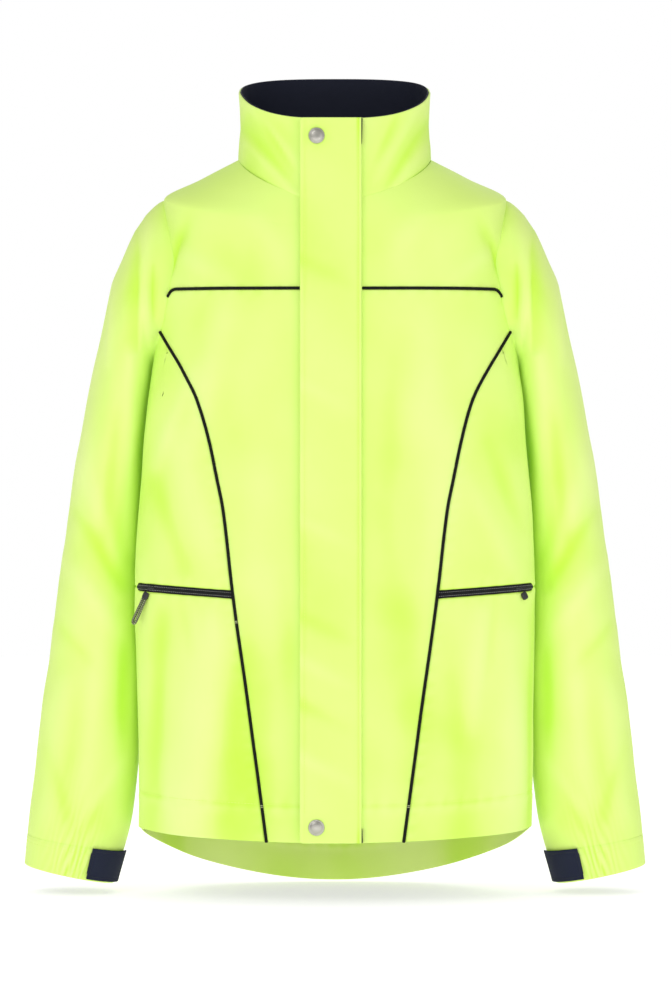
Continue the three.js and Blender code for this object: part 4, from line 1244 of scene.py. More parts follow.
def declare_sheet(
    grid: Array, wrap: bool = False
) -> None:
    """Works out the size a cloth is cut to: its longest row by its longest column, and its area, and keeps
    none of them.

    Args:
        grid: Its outer grid in metres.
        wrap: Whether its columns close on themselves.
    """
    closed = np.concatenate([grid, grid[:, :1]], 1) if wrap else grid
    width = float(np.linalg.norm(np.diff(closed, axis=1), axis=-1).sum(1).max())
    length = float(np.linalg.norm(np.diff(closed, axis=0), axis=-1).sum(0).max())
    width, length = round(width, 4), round(length, 4)
    area = min(max(cloth_area(closed), 0.301 * width * length), width * length)


# ---------------------------------------------------------------- body cloth


@dataclass(frozen=True)
class Cut:
    """One panel of the body, drawn for the wearer's left: its four seams and which of them are sewn."""

    left: Edge
    right: Edge
    low: Edge
    high: Edge
    sewn: str = "lrbt"
    gap: float = 0.15
    depth: float = 0.0
    thick: float = 1.1
    step: float = 4.5
    stitched: tuple[float, ...] = ()


def level(height: float) -> Edge:
    """An edge at one height or angle."""
    return lambda a: np.full_like(np.asarray(a, float), height)


class PanelCutter:
    """Cuts panels from the draped body."""

    def edge_heights(self, cut: Cut, edge: Edge, t: Array) -> Array:
        """The height on a side edge at each share t, by halving the interval forty times."""
        low, high = np.full_like(t, -460.0), np.full_like(t, 430.0)
        for _ in range(40):
            v = (low + high) / 2
            a = edge(v)
            under = v < lerp(cut.low(a), cut.high(a), t)
            low, high = np.where(under, v, low), np.where(under, high, v)
        return (low + high) / 2

    def grid(self, cut: Cut, tip: bool) -> tuple[Array, Array, Array, Array]:
        """The angles and heights of a panel's grid, and the distances across and up it in millimetres.

        Args:
            cut: The panel.
            tip: Whether rows crowd towards the shoulder tip.

        Returns:
            Angle, height, distance from the left edge as a share, and share of the height.
        """
        t = np.linspace(0, 1, 9)
        vl, vr = self.edge_heights(cut, cut.left, t), self.edge_heights(cut, cut.right, t)
        al, ar = cut.left(vl), cut.right(vr)
        spread = np.linspace(0, 1, 7)[None]
        a = lerp(al[:, None], ar[:, None], spread)
        v = lerp(cut.low(a), cut.high(a), t[:, None])
        p = BODY.point(a, v)
        width = np.linalg.norm(np.diff(p, axis=1), axis=-1).sum(1).max()
        height = np.linalg.norm(np.diff(p, axis=0), axis=-1).sum(0).max()
        s, t = fine_edges(float(width), cut.step), fine_edges(float(height), cut.step)
        if tip:
            mid = float(np.mean(cut.low(np.array([-0.5]))))
            share = (BODY.tip_z - mid) / (BODY.neck_z - mid)
            extra = share - (np.geomspace(0.15, 30, 14) / (BODY.neck_z - mid))
            t = np.unique(np.concatenate([t, extra[extra > 0], [share]]).round(7))
        vl, vr = self.edge_heights(cut, cut.left, t), self.edge_heights(cut, cut.right, t)
        a = lerp(cut.left(vl)[:, None], cut.right(vr)[:, None], s[None])
        v = lerp(cut.low(a), cut.high(a), t[:, None])
        return a, v, np.broadcast_to(s, a.shape) * width, np.broadcast_to(t[:, None], a.shape) * height

    def make(self, name: str, side: Side, cut: Cut, tip: bool = False) -> tuple[bpy.types.Object, Array]:
        """Builds a panel.

        Each sewn edge rolls inwards by a bell of its distance, with small puckers along it, and each
        row of stitches presses a groove.

        Args:
            name: The piece's name.
            side: Which side of the body it is on.
            cut: Its seams.
            tip: Whether its rows crowd towards the shoulder tip.

        Returns:
            The object and its outer grid in metres.
        """
        a, v, across, up = self.grid(cut, tip)
        turn = a if side is Side.LEFT else math.pi - a
        plain = BODY.point(turn, v)
        normal = BODY.normal(turn, v)
        drape = DRAPE.body(turn, v, plain)
        distance = {"l": across, "r": across.max(1, keepdims=True) - across,
                    "b": up, "t": up.max(0, keepdims=True) - up}
        wave = np.sin(plain[..., 2] / 2.3 + 1.3 * np.sin(plain[..., 2] / 19))
        ripple = np.sin(plain[..., 0] / 2.6 + 1.4 * np.sin(plain[..., 0] / 23))
        small = np.zeros_like(drape)
        for key in cut.sewn:
            d = distance[key]
            small -= 1.25 * bell(d, 1.3) + 0.18 * bell(d - 4, 4) * (wave if key in "lr" else ripple)
        for height in cut.stitched:
            d = up - height
            small += -0.5 * bell(d, 1.4) + 0.3 * bell(d + 5, 5) + 0.22 * bell(d, 8) * ripple
        lift = drape + small - cut.depth
        top = to_row(plain + normal * lift[..., None])
        under = to_row(plain + normal * (lift - cut.thick)[..., None])
        # The fold values weigh the seam rolls, puckers and stitch grooves 2.2 times, so the shell's painted
        # shade darkens seams and hem stitching more than their shape does.
        obj = layered(name, top, under, fold=np.tanh((drape + 2.2 * small) / 2.6))
        return obj, top


class BodyShell:
    """The yellow outer panels with their hems."""

    hem_band: float = 38
    back_yoke_z: float = 246

    def __init__(self) -> None:
        """Settles the seams that panels share."""
        self.cutter = PanelCutter()
        self.zip_x, self.zip_gap = -5.0, 7.0

    def zip_edge(self, side: Side, room: float) -> Edge:
        """The edge beside the front zip."""
        x = max(side.value * self.zip_x + room, 0.5)
        return lambda v: BODY.angle_at(np.full_like(v, x), v)

    def front_outer(self, v: Array) -> Array:
        """The front panel's outer edge: the curved seam, then the armhole."""
        return np.where(v < BODY.meets_z, BODY.princess(np.minimum(v, BODY.meets_z)), -BODY.armhole(v))

    def yoke_outer(self, v: Array) -> Array:
        """The yoke's outer edge: the armhole, then the shoulder seam."""
        return np.where(v < BODY.tip_z, -BODY.armhole(v), 0.0)

    def back_outer(self, v: Array) -> Array:
        """The back's edge: the side seam, then the armhole, then the shoulder seam."""
        hole = BODY.armhole(v)
        return np.where(v < BODY.hole_z, np.maximum(0.16, hole), np.where(v < BODY.tip_z, hole, 0.0))

    def back_right(self, v: Array) -> Array:
        """The back's edge on the wearer's right."""
        return math.pi - self.back_outer(v)

    def armhole_edge(self, a: Array) -> Array:
        """The armhole's lower edge at an angle."""
        return BODY.armhole_low(a)

    def above_zip(self, a: Array) -> Array:
        """The cloth's edge above the pocket zip."""
        return BODY.pocket(a) + BODY.pocket_lip(a)

    def below_zip(self, a: Array) -> Array:
        """The cloth's edge below the pocket zip."""
        return BODY.pocket(a) - BODY.pocket_lip(a)

    def build(self) -> None:
        """Makes every panel of the shell."""
        for side in Side:
            seam = level(0.16)
            cuts = {
                "front_panel": Cut(self.zip_edge(side, self.zip_gap), self.front_outer, BODY.hem,
                                   level(BODY.yoke_z), "rt", stitched=(self.hem_band,)),
                "side_panel_upper": Cut(BODY.princess, seam, self.above_zip, self.armhole_edge, "lrbt"),
                "side_panel_lower": Cut(BODY.princess, seam, BODY.hem, self.below_zip, "lrt",
                                        stitched=(self.hem_band,)),
                "front_yoke": Cut(self.zip_edge(side, self.zip_gap), self.yoke_outer, level(BODY.yoke_z),
                                  level(BODY.neck_z), "b"),
            }
            for node, cut in cuts.items():
                self.add(f"{node}_{side.word}", side, cut, node == "front_yoke")
        self.add("back_panel", Side.LEFT,
                 Cut(self.back_outer, self.back_right, BODY.hem, level(self.back_yoke_z), "lrt",
                     stitched=(self.hem_band,)))
        self.add("back_yoke", Side.LEFT,
                 Cut(self.back_outer, self.back_right, level(self.back_yoke_z), level(BODY.neck_z), "b"),
                 True)

    def add(self, node: str, side: Side, cut: Cut, tip: bool = False) -> None:
        """Makes one panel and its hem stitches, in place of its frame node."""
        obj, grid = self.cutter.make(f"{node}_cloth", side, cut, tip)
        WARDROBE.dress(obj, Finish.SHELL_CLOTH)
        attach(obj, "root")
        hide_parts(node)
        declare_sheet(grid)
        for height in cut.stitched:
            lo, hi = cut.left(np.array([BODY.hem_z]))[0], cut.right(np.array([BODY.hem_z]))[0]
            a = np.linspace(lo, hi, 160)
            v = cut.low(a) + height
            turn = a if side is Side.LEFT else math.pi - a
            path = to_row(BODY.draped(turn, v, -0.35))
            row = thread_stitches(f"{node}_hem_stitches", path, BODY.normal(turn, v))
            WARDROBE.sewn(row, "yellow", Finish.SHELL_CLOTH)
            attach(row, "root")
        log.info("%s: %d faces", obj.name, len(obj.data.polygons))


class BodyLining:
    """The dark lining inside the body, and the pocket bags between it and the shell."""

    def __init__(self, shell: BodyShell) -> None:
        """Takes the shell for its seams."""
        self.shell = shell

    def build(self) -> None:
        """Makes the linings and the bags."""
        sh = self.shell
        for side in Side:
            def outer(v: Array) -> Array:
                return np.where(v < 155, 0.16, sh.yoke_outer(v))

            def hem(a: Array) -> Array:
                return BODY.hem(a) + 42

            def bag_low(a: Array) -> Array:
                return BODY.pocket(a) - 170

            def bag_high(a: Array) -> Array:
                return BODY.pocket(a) - 6

            def bag_left(v: Array) -> Array:
                return BODY.princess(v) - 0.05

            lining = Cut(sh.zip_edge(side, 21), outer, hem, level(359), "", depth=7.2, thick=0.6, step=8)
            self.add(f"lining_front_{side.word}", side, lining, Finish.LINING_CLOTH, True)
            bag = Cut(bag_left, level(-0.12), bag_low, bag_high, "", depth=3.2, thick=1.2, step=7)
            self.add(f"pocket_bag_{side.word}", side, bag, Finish.POCKET_CLOTH, False)

        def back_hem(a: Array) -> Array:
            return BODY.hem(a) + 46

        back = Cut(sh.back_outer, sh.back_right, back_hem, level(359), "", depth=7.2, thick=0.6, step=8)
        self.add("lining_back", Side.LEFT, back, Finish.LINING_CLOTH, True)

    def add(self, node: str, side: Side, cut: Cut, finish: Finish, tip: bool) -> None:
        """Makes one inner cloth in place of its frame node."""
        obj, grid = self.shell.cutter.make(f"{node}_cloth", side, cut, tip)
        WARDROBE.dress(obj, finish)
        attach(obj, "root")
        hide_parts(node)
        declare_sheet(grid)
        log.info("%s: %d faces", obj.name, len(obj.data.polygons))


@dataclass
class Piping:
    """Black piping in the curved front seams and the yoke seams, with the hem's stitches over it."""

    radius: float = 1.65
    proud: float = 0.5

    def build(self) -> None:
        """Makes the four lengths of piping and the pale stitches that cross them."""
        for side in Side:
            v = np.linspace(BODY.hem_z + 1.2, BODY.meets_z - 0.5, 280)
            self.add(f"princess_piping_{side.word}", side, BODY.princess(v), v)
            start = 12.0 if side is Side.RIGHT else 29.0
            end = -BODY.armhole(np.array([BODY.yoke_z]))[0]
            a = np.linspace(BODY.angle_at(np.array(start), np.array(BODY.yoke_z)), end - 0.004, 120)
            bend = np.clip((a - (end - 0.11)) / 0.11, 0, 1)
            self.add(f"yoke_piping_{side.word}", side, a, BODY.yoke_z - 8 * bend**2.6)
            self.crossing(side, -309.0)
            if side is Side.RIGHT:
                self.crossing(side, -121.0)

    def add(self, node: str, side: Side, a: Array, v: Array) -> None:
        """Makes one length of piping along angles and heights."""
        turn = a if side is Side.LEFT else math.pi - a
        path = to_row(BODY.draped(turn, v, self.proud))
        obj = tube(f"{node}_cord", path, BODY.normal(turn, v), self.radius / 1000, 14)
        WARDROBE.dress(obj, Finish.PIPING)
        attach(obj, "root")
        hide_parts(node)
        log.info("%s: %d faces", obj.name, len(obj.data.polygons))

    def crossing(self, side: Side, height: float) -> None:
        """Two pale stitches over the curved seam's piping at a height."""
        v = np.array([height - 0.8, height + 0.8])
        a = BODY.princess(v)
        turn = a if side is Side.LEFT else math.pi - a
        spot = to_row(BODY.draped(turn, v, self.proud + self.radius))
        n = BODY.normal(turn, v)
        along = unit(np.cross(np.array([0.0, 0.0, 1.0]), n))
        rice = np.array([[0.1, -1.5], [0.3, -1.2], [0.34, 0], [0.3, 1.2], [0.1, 1.5]])
        solid, faces = turned(rice / 1000, 8)
        solid[:, 0] -= 0.0009 * (solid[:, 2] / 0.0015) ** 2
        obj = repeated(f"piping_stitch_{side.word}_{round(-height)}", solid, faces, spot,
                       np.stack([n, np.cross(along, n), along], 1))
        WARDROBE.sewn(obj, "pale", Finish.PIPING)
        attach(obj, "root")


class Collar:
    """The stand collar: a yellow shell that rolls over its rim, and the navy lining inside it."""

    shell_thick: float = 2.2
    lining_thick: float = 1.3

    def grid(self, room_right: float, room_left: float, low: float, high: float,
             depth: float, thick: float) -> tuple[Array, Array, Array]:
        """The outer and inner grids of a layer, and its fold values.

        The layer runs from the zip round the back to the zip; near its rim its faces draw together
        by a quarter circle, so that the edge is round.
        """
        neck = np.array(BODY.neck_z)
        start = float(BODY.angle_at(np.array(room_left), neck))
        stop = math.pi - float(BODY.angle_at(np.array(room_right), neck))
        turn = lerp(start, stop, fine_edges(560, 3.6))[None]
        h = lerp(low, high, fine_edges(84, 3.2))[:, None]
        turn, h = np.broadcast_arrays(turn, h)
        plain, normal = COLLAR.point(turn, h), COLLAR.normal(turn, h)
        drape = DRAPE.collar(plain, h)
        rim = np.clip(1 - (high - h) * 84 / (thick / 2), 0, 1)
        inset = thick / 2 * (1 - np.sqrt(np.maximum(0, 1 - (rim * 0.96) ** 2)))
        foot = -0.5 * bell((h - low) * 84, 1.6)
        lift = drape - depth
        top = to_row(plain + normal * (lift - inset + foot)[..., None])
        under = to_row(plain + normal * (lift - thick + inset + foot)[..., None])
        return top, under, np.tanh(drape / 2.4)

    def build(self) -> None:
        """Makes both layers."""
        top, under, fold = self.grid(12.0, 2.0, -0.02, 1.0, -0.15, self.shell_thick)
        shell = layered("collar_shell_cloth", top, under, fold=fold)
        WARDROBE.dress(shell, Finish.SHELL_CLOTH)
        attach(shell, "root")
        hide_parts("collar_shell")
        declare_sheet(top)
        top, under, fold = self.grid(12.0, 2.0, -0.02, 1.012, self.shell_thick - 0.5, self.lining_thick)
        lining = layered("collar_lining_cloth", top, under, fold=fold)
        WARDROBE.dress(lining, Finish.LINING_CLOTH)
        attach(lining, "root")
        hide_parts("collar_lining")
        declare_sheet(top)
        log.info("collar: %d and %d faces", len(shell.data.polygons), len(lining.data.polygons))


# ---------------------------------------------------------------- centre front


@dataclass
class CentreFront:
    """The straight line of the front zip: x across, y up from the hem, z out of the cloth."""

    zip_x: float = -5
    tape_z: float = -3.7
    chain_end: float = 12
    hinge: float = 27
    free: float = -36
    proud: float = 5
    flap_thick: float = 2.4
    snap_x: float = -19
    snap_inset: float = 16
    top_inset: float = 19
    foot: Array = field(default_factory=lambda: np.array([0.0, -134, -346]))
    head: Array = field(default_factory=lambda: np.array([0.0, -100, 397]))

    def __post_init__(self) -> None:
        """Works out the line's axes and length."""
        self.length = float(np.linalg.norm(self.head - self.foot))
        self.up = (self.head - self.foot) / self.length
        self.out = np.cross([1.0, 0, 0], self.up)
        self.axes = np.stack([np.array([1.0, 0, 0]), self.up, self.out])

    def place(self, x: Array, y: Array, z: Array) -> Array:
        """Points in the row frame from the line's own coordinates: foot + x across + y up + z out."""
        local = np.stack(np.broadcast_arrays(x, y, z), -1).astype(float)
        return to_row(self.foot + local @ self.axes)

    def build(self) -> None:
        """Makes the zip, the flap, the snaps, the binding and the guard."""
        self.tapes()
        self.teeth()
        self.flap()
        self.snaps()
        self.strips()

    def tapes(self) -> None:
        """Each zip tape: a strip with a thicker cord at its inner edge, beside the teeth."""
        for side in Side:
            across = np.concatenate([[0, 0.25, 0.6, 1.0, 1.5, 2.1], np.linspace(3, 13.2, 10), [13.6]])
            y = np.linspace(2, self.length - 4, 190)
            x = self.zip_x + side.value * (1.4 + across)
            bead = 0.55 * bell(across - 0.9, 0.8)
            wave = 0.12 * np.sin(y / 7)[:, None] * (across / 13)[None]
            top = self.place(x[None], y[:, None], self.tape_z - 0.2 + bead[None] + wave)
            under = self.place(x[None], y[:, None], self.tape_z - 0.9 + 0 * bead[None] + wave)
            obj = layered(f"zip_tape_{side.word}_cloth", top, under)
            WARDROBE.dress(obj, Finish.ZIP_TAPE)
            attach(obj, "root")
            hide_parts(f"zip_tape_{side.word}")
            declare_sheet(top)

    def teeth(self) -> None:
        """Moulded teeth at a 2.6 mm pitch that mesh across the middle, in place of each plain chain."""
        profile = np.array([[0.35, -1.15], [0.95, -1.0], [1.1, 0], [0.95, 1.0], [0.35, 1.15]])
        solid, faces = turned(profile, 8)
        solid = solid[:, [2, 1, 0]] * np.array([1.0, 0.62, 1.15])
        for side in Side:
            y = np.arange(self.chain_end, self.length - self.chain_end, 2.6)
            y = y + (1.3 if side is Side.LEFT else 0)
            local = np.stack([np.full_like(y, self.zip_x + side.value * 1.35), y,
                              np.full_like(y, self.tape_z + 1.35)], -1)
            origins = to_row(self.foot + local @ self.axes)
            axes = np.broadcast_to(self.axes / 1000, (len(y), 3, 3))
            obj = repeated(f"zip_teeth_{side.word}", solid, faces, origins, axes)
            WARDROBE.dress(obj, Finish.ZIP_CHAIN)
            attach(obj, "root")
            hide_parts(f"zip_chain_{side.word}")
            log.info("%s: %d faces", obj.name, len(obj.data.polygons))

    def flap_wave(self, x: Array, y: Array) -> Array:
        """The flap's gentle waves: slanting puckers that fade from its free edge to its sewn edge."""
        share = np.clip((self.hinge - x) / (self.hinge - self.free), 0, 1)
        slow = 0.5 * np.sin(y / 61 + 0.6) + 0.35 * np.sin(y / 27 + x / 24 + 2)
        marks = 0.0
        dents = ((88, 0.9), (142, -0.8), (186, 0.8), (232, -0.6), (330, 0.6), (470, 0.5), (598, -0.5))
        for centre, size in dents:
            marks = marks + size * bell(y - centre + (x - self.free) * 0.5, 8)
        pinch = sum(-0.55 * bell(np.hypot(x - self.snap_x, y - at), 13) for at in self.snap_rows())
        return (slow * 0.8 + marks) * share**0.8 + pinch

    def snap_rows(self) -> tuple[float, float]:
        """The heights of the two press studs."""
        return self.snap_inset, self.length - self.top_inset

    def flap(self) -> None:
        """The storm flap: two layers sewn together, round at its edges, with a groove by its hinge."""
        x = lerp(self.free, self.hinge, fine_edges(63, 3.0))[None]
        y = lerp(0, self.length, fine_edges(743, 4.0))[:, None]
        x, y = np.broadcast_arrays(x, y)
        edge = np.minimum(np.minimum(x - self.free, self.hinge - x), np.minimum(y, self.length - y))
        radius = self.flap_thick / 2
        round_in = radius * (1 - np.sqrt(np.clip(1 - (1 - np.clip(edge / radius, 0, 1)) ** 2 * 0.95, 0, 1)))
        wave = self.flap_wave(x, y)
        slit = np.clip(np.maximum(bell(y - self.length, 26), bell(y, 14)), 0, 1)
        groove = -(0.5 + 0.9 * slit) * bell(self.hinge - x - 3.2, 1.3) - 0.35 * bell(x - self.free - 5, 1.1)
        corner = np.hypot(np.maximum(self.free + 4 - x, 0), np.maximum(np.abs(y - self.length / 2)
                          - self.length / 2 + 4, 0))
        pull = np.maximum(corner - 4, 0)
        x = x + pull * 0.7 * (x < self.free + 4)
        y = y - np.sign(y - self.length / 2) * pull * 0.7
        base = self.proud + wave
        top = self.place(x, y, base + self.flap_thick - round_in + groove)
        under = self.place(x, y, base + round_in)
        # The fold values weigh the grooves by the hinge and the free edge 1.4 times, for painted shade along
        # them.
        obj = layered("storm_flap_cloth", top, under, fold=np.tanh((wave + groove * 1.4) / 1.4))
        WARDROBE.dress(obj, Finish.SHELL_CLOTH)
        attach(obj, "storm_flap")
        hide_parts("storm_flap")
        declare_sheet(top)
        ys = np.linspace(30, self.length - 30, 300)
        for name, sx, lift in (("hinge", self.hinge - 3.2, -0.5), ("free", self.free + 5, -0.3)):
            xs = np.full_like(ys, sx)
            path = self.place(xs, ys, self.proud + self.flap_thick + lift + self.flap_wave(xs, ys))
            row = thread_stitches(f"flap_{name}_stitches", path, np.broadcast_to(self.out, path.shape))
            WARDROBE.sewn(row, "yellow", Finish.SHELL_CLOTH)
            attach(row, "storm_flap")
        log.info("%s: %d faces", obj.name, len(obj.data.polygons))

    def snaps(self) -> None:
        """Domed caps with a rolled rim, ring sockets behind them, and the studs on the front."""
        top = self.proud + self.flap_thick
        dome = np.array([
            [0.6, top - 2.0], [1.7, top - 2.0], [1.7, top + 0.1], [7.0, top + 0.1], [7.9, top + 0.25],
            [8.25, top + 0.6], [8.25, top + 0.95], [7.9, top + 1.3], [7.3, top + 1.42], [6.9, top + 1.3],
            [6.4, top + 1.7], [5.4, top + 2.2], [4.0, top + 2.6], [2.4, top + 2.82], [1.0, top + 2.9],
        ])
        stud = np.array([[0.6, 0.2], [5.2, 0.2], [5.4, 0.45], [5.2, 0.75], [2.2, 1.0], [1.7, 1.3],
                         [1.65, 2.6], [2.0, 3.1], [2.45, 3.5], [2.5, 3.8], [2.3, 4.2], [1.6, 4.4],
                         [0.6, 4.45]])
        a = np.linspace(0, TAU, 14, endpoint=False)
        ring = np.stack([4.45 + 1.3 * np.cos(a), self.proud - 1.7 + 1.15 * np.sin(a)], -1)
        for word, y in zip(("hem", "top"), self.snap_rows()):
            where = to_row(self.foot + np.array([self.snap_x, y, 0]) @ self.axes)[None]
            axes = (self.axes / 1000)[None]
            for node, shape, body in (("snap_cap", dome, "storm_flap"), ("snap_stud", stud, "root")):
                points, faces = turned(shape, 48)
                obj = repeated(f"{node}_{word}_dome", points, faces, where, axes)
                self.add_metal(obj, f"{node}_{word}", body)
            turn = np.arange(40) * TAU / 40
            grid = np.stack([ring[:, 0] * np.cos(turn)[:, None], ring[:, 0] * np.sin(turn)[:, None],
                             np.broadcast_to(ring[:, 1], (40, 14))], -1).reshape(-1, 3)
            r, c = (q.ravel() for q in np.meshgrid(np.arange(40), np.arange(14), indexing="ij"))
            quads = np.stack([r * 14 + c, (r + 1) % 40 * 14 + c, (r + 1) % 40 * 14 + (c + 1) % 14,
                              r * 14 + (c + 1) % 14], 1)
            obj = repeated(f"snap_socket_{word}_ring", grid, [quads], where, axes)
            self.add_metal(obj, f"snap_socket_{word}", "storm_flap")

    def add_metal(self, obj: bpy.types.Object, node: str, body: str) -> None:
        """Dresses a press-stud piece in nickel, in place of its frame node."""
        WARDROBE.dress(obj, Finish.SNAP_METAL)
        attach(obj, body)
        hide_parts(node)

    def strips(self) -> None:
        """The binding under the flap's sewn edge and the guard behind the zip."""
        y = np.linspace(4, self.length - 4, 190)[:, None]
        x = np.linspace(-3.4, 0.6, 12)[None]
        crown = 1 - ((x + 1.4) / 2.2) ** 4
        top = self.place(self.hinge + x, y, 0.6 + 3.9 * np.maximum(crown, 0.08) + 0.08 * np.sin(y / 3.1))
        under = self.place(self.hinge + x, y, 0.5 + 0 * crown + 0 * y)
        binding = layered("flap_binding_strip", top, under, fold=np.zeros(top.shape[:2]))
        WARDROBE.dress(binding, Finish.SHELL_CLOTH)
        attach(binding, "root")
        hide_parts("flap_binding")
        # Dark strips at both ends of the flap's sewn edge, as painted shadow in the open ends of its seam.
        self.slit("top", self.length - 27, self.length - 0.5)
        self.slit("hem", 0.5, 15)
        y = np.linspace(4, self.length - 10, 150)[:, None]
        x = np.linspace(-19, 19, 26)[None]
        z = -8.3 + 0.35 * np.sin(y / 41 + x / 15) - 0.6 * bell(19 - np.abs(x), 1.2)
        top = self.place(self.zip_x + x, y, z)
        under = self.place(self.zip_x + x, y, z - 0.9)
        guard = layered("zip_guard_cloth", top, under)
        WARDROBE.dress(guard, Finish.LINING_CLOTH)
        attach(guard, "root")
        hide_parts("zip_guard")
        declare_sheet(top)

    def slit(self, word: str, low: float, high: float) -> None:
        """A dark strip of lining cloth in the slit where the flap's seam is left open at its end: a painted
        shadow for the shade in that gap.
        """
        share = np.linspace(0, 1, 24)[:, None]
        across = np.linspace(-1, 1, 7)[None]
        inner = share if word == "top" else 1 - share
        half = 0.75 * np.sqrt(np.clip(inner, 0.03, 1))
        x = self.hinge + 0.55 + across * half
        y = lerp(low, high, share) + 0 * across
        top = self.place(x, y, 4.9 - 0.3 * across**2 + 0 * y)
        under = self.place(x, y, 0.3 + 0 * across + 0 * y)
        obj = layered(f"flap_slit_{word}", top, under)
        WARDROBE.dress(obj, Finish.LINING_CLOTH)
        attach(obj, "root")


# ---------------------------------------------------------------- metal and moulded pieces

Solid = tuple[Array, list[Array]]


def pebble(centre: Sequence[float], halves: Sequence[float], power: float = 5, rows: int = 14,
           cols: int = 28) -> Solid:
    """A rounded block: a superellipse ring, drawn in towards each end by another superellipse.

    Args:
        centre: Its middle.
        halves: Half of its size along x, y and z.
        power: How square it is.
        rows: Rings.
        cols: Corners of a ring.

    Returns:
        Points and faces.
    """
    k, z = squircle(np.linspace(-math.pi / 2 + 0.12, math.pi / 2 - 0.12, rows), power)
    points, faces = turned(np.stack([k, z], 1), cols)
    ring = np.hypot(points[:, 0], points[:, 1])
    c, s = squircle(np.arctan2(points[:, 1], points[:, 0]), power)
    shaped = np.stack([ring * c, ring * s, points[:, 2]], 1)
    return shaped * halves + centre, faces


def merged(parts: Sequence[Solid]) -> Solid:
    """Several solids as one, side by side."""
    points, faces, shift = [], [], 0
    for part_points, part_faces in parts:
        points.append(part_points)
        faces += [f + shift for f in part_faces]
        shift += len(part_points)
    by_size = {f.shape[1]: np.concatenate([g for g in faces if g.shape[1] == f.shape[1]]) for f in faces}
    return np.concatenate(points), list(by_size.values())


@dataclass(frozen=True)
class SliderPiece:
    """A zip slider: two plates, the bridge between them, and a bail on two posts."""

    half: float
    gap: float
    length: float = 13
    plate: float = 1.2
    bridge: float = 0.5
    reach: float = 3.6
    rise: float = 4.4

    def solid(self) -> Solid:
        """The slider about the middle of its front plate's back face, x across, y along, z out."""
        front, back = self.plate / 2, -self.gap - self.plate / 2
        plates = [pebble((0, 0, z), (self.half, self.length / 2, self.plate / 2), 4) for z in (front, back)]
        for points, _ in plates:
            points[:, 0] *= 1 - 0.28 * np.clip(-points[:, 1] / self.length * 2, 0, 1)
        web = pebble((0, 0, -self.gap / 2), (self.bridge, self.length * 0.35, self.gap / 2 + 0.5))
        posts = [pebble((0, y, 2.4), (0.7, 0.7, 2.0)) for y in (-self.reach, self.reach)]
        bar = pebble((0, 0, self.rise - 0.4), (0.7, self.reach + 0.7, 0.42))
        return merged([*plates, web, *posts, bar])


def placed_piece(name: str, solid: Solid, origin: Array, axes: Array) -> bpy.types.Object:
    """A solid in millimetres, stood at an origin in metres with its axes as rows."""
    return repeated(name, solid[0], solid[1], origin[None], axes[None] / 1000)


class FrontSlider:
    """The front zip's slider, its puller and the box at the zip's foot."""

    def build(self, line: CentreFront) -> None:
        """Makes the three pieces on the line of the front zip."""
        at = to_row(line.foot + np.array([line.zip_x, line.length - 25, -0.3]) @ line.axes)
        slider = placed_piece("main_slider_body", SliderPiece(5.4, 4.8).solid(), at, line.axes)
        WARDROBE.dress(slider, Finish.ZIP_SLIDER)
        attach(slider, "main_slider")
        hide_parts("main_slider")
        low, high = (np.array(corner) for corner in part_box("main_puller"))
        plate = pebble((0, 0, 0), (3.5, 13.5, 0.8), 4)
        grip = pebble((0, -3, 0), (2.4, 7.5, 1.0), 4)
        puller = placed_piece("main_puller_plate", merged([plate, grip]), (low + high) / 2, line.axes)
        WARDROBE.dress(puller, Finish.ZIP_SLIDER)
        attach(puller, "main_slider")
        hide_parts("main_puller")
        low, high = (np.array(corner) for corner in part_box("zip_box"))
        halves = (high - low) * 500
        box = placed_piece("zip_box_block", pebble((0, 0, 0), halves), (low + high) / 2, np.eye(3))
        WARDROBE.dress(box, Finish.ZIP_SLIDER)
        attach(box, "root")
        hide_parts("zip_box")
        log.info("front slider: %d faces", len(slider.data.polygons))


PULL_LINE = np.array([
    (-0.19908, -0.15429, -0.48917), (-0.20108, -0.15353, -0.49369), (-0.20315, -0.15270, -0.49816),
    (-0.20523, -0.15188, -0.50264), (-0.20710, -0.15113, -0.50666), (-0.20870, -0.15052, -0.51028),
    (-0.20937, -0.15045, -0.51274), (-0.20876, -0.15131, -0.51459), (-0.20709, -0.15257, -0.51411),
    (-0.20576, -0.15326, -0.51205), (-0.20415, -0.15387, -0.50844), (-0.20241, -0.15450, -0.50433),
    (-0.20048, -0.15520, -0.49978), (-0.19854, -0.15590, -0.49522), (-0.19653, -0.15666, -0.49070),
])


@dataclass
class PullCord:
    """The doubled reflective cord on the wearer's right pocket puller."""

    radius: float = 0.0015
    samples: int = 85

    def line(self) -> Array:
        """The cord's middle line: the chosen points joined by cubic curves on their chord lengths."""
        run = np.concatenate([[0], np.cumsum(np.linalg.norm(np.diff(PULL_LINE, axis=0), axis=1))])
        slope = np.gradient(PULL_LINE, run, axis=0)
        s = np.linspace(0, run[-1], self.samples)
        i = np.clip(np.searchsorted(run, s, side="right") - 1, 0, len(run) - 2)
        h = (run[i + 1] - run[i])[:, None]
        t = (s[:, None] - run[i, None]) / h
        t2, t3 = t * t, t * t * t
        start, stop = PULL_LINE[i], PULL_LINE[i + 1]
        cubic = (2 * t3 - 3 * t2 + 1) * start + (3 * t2 - 2 * t3) * stop
        return cubic + (t3 - 2 * t2 + t) * h * slope[i] + (t3 - t2) * h * slope[i + 1]

    def build(self) -> None:
        path = self.line()
        outward = np.broadcast_to(np.array([-0.6656, -0.7448, 0.0464]), path.shape)
        obj = tube("pocket_cord_right_braid", path, outward, self.radius, 16)
        WARDROBE.dress(obj, Finish.CORD)
        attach(obj, "pocket_puller_right")
        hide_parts("pocket_cord_right")


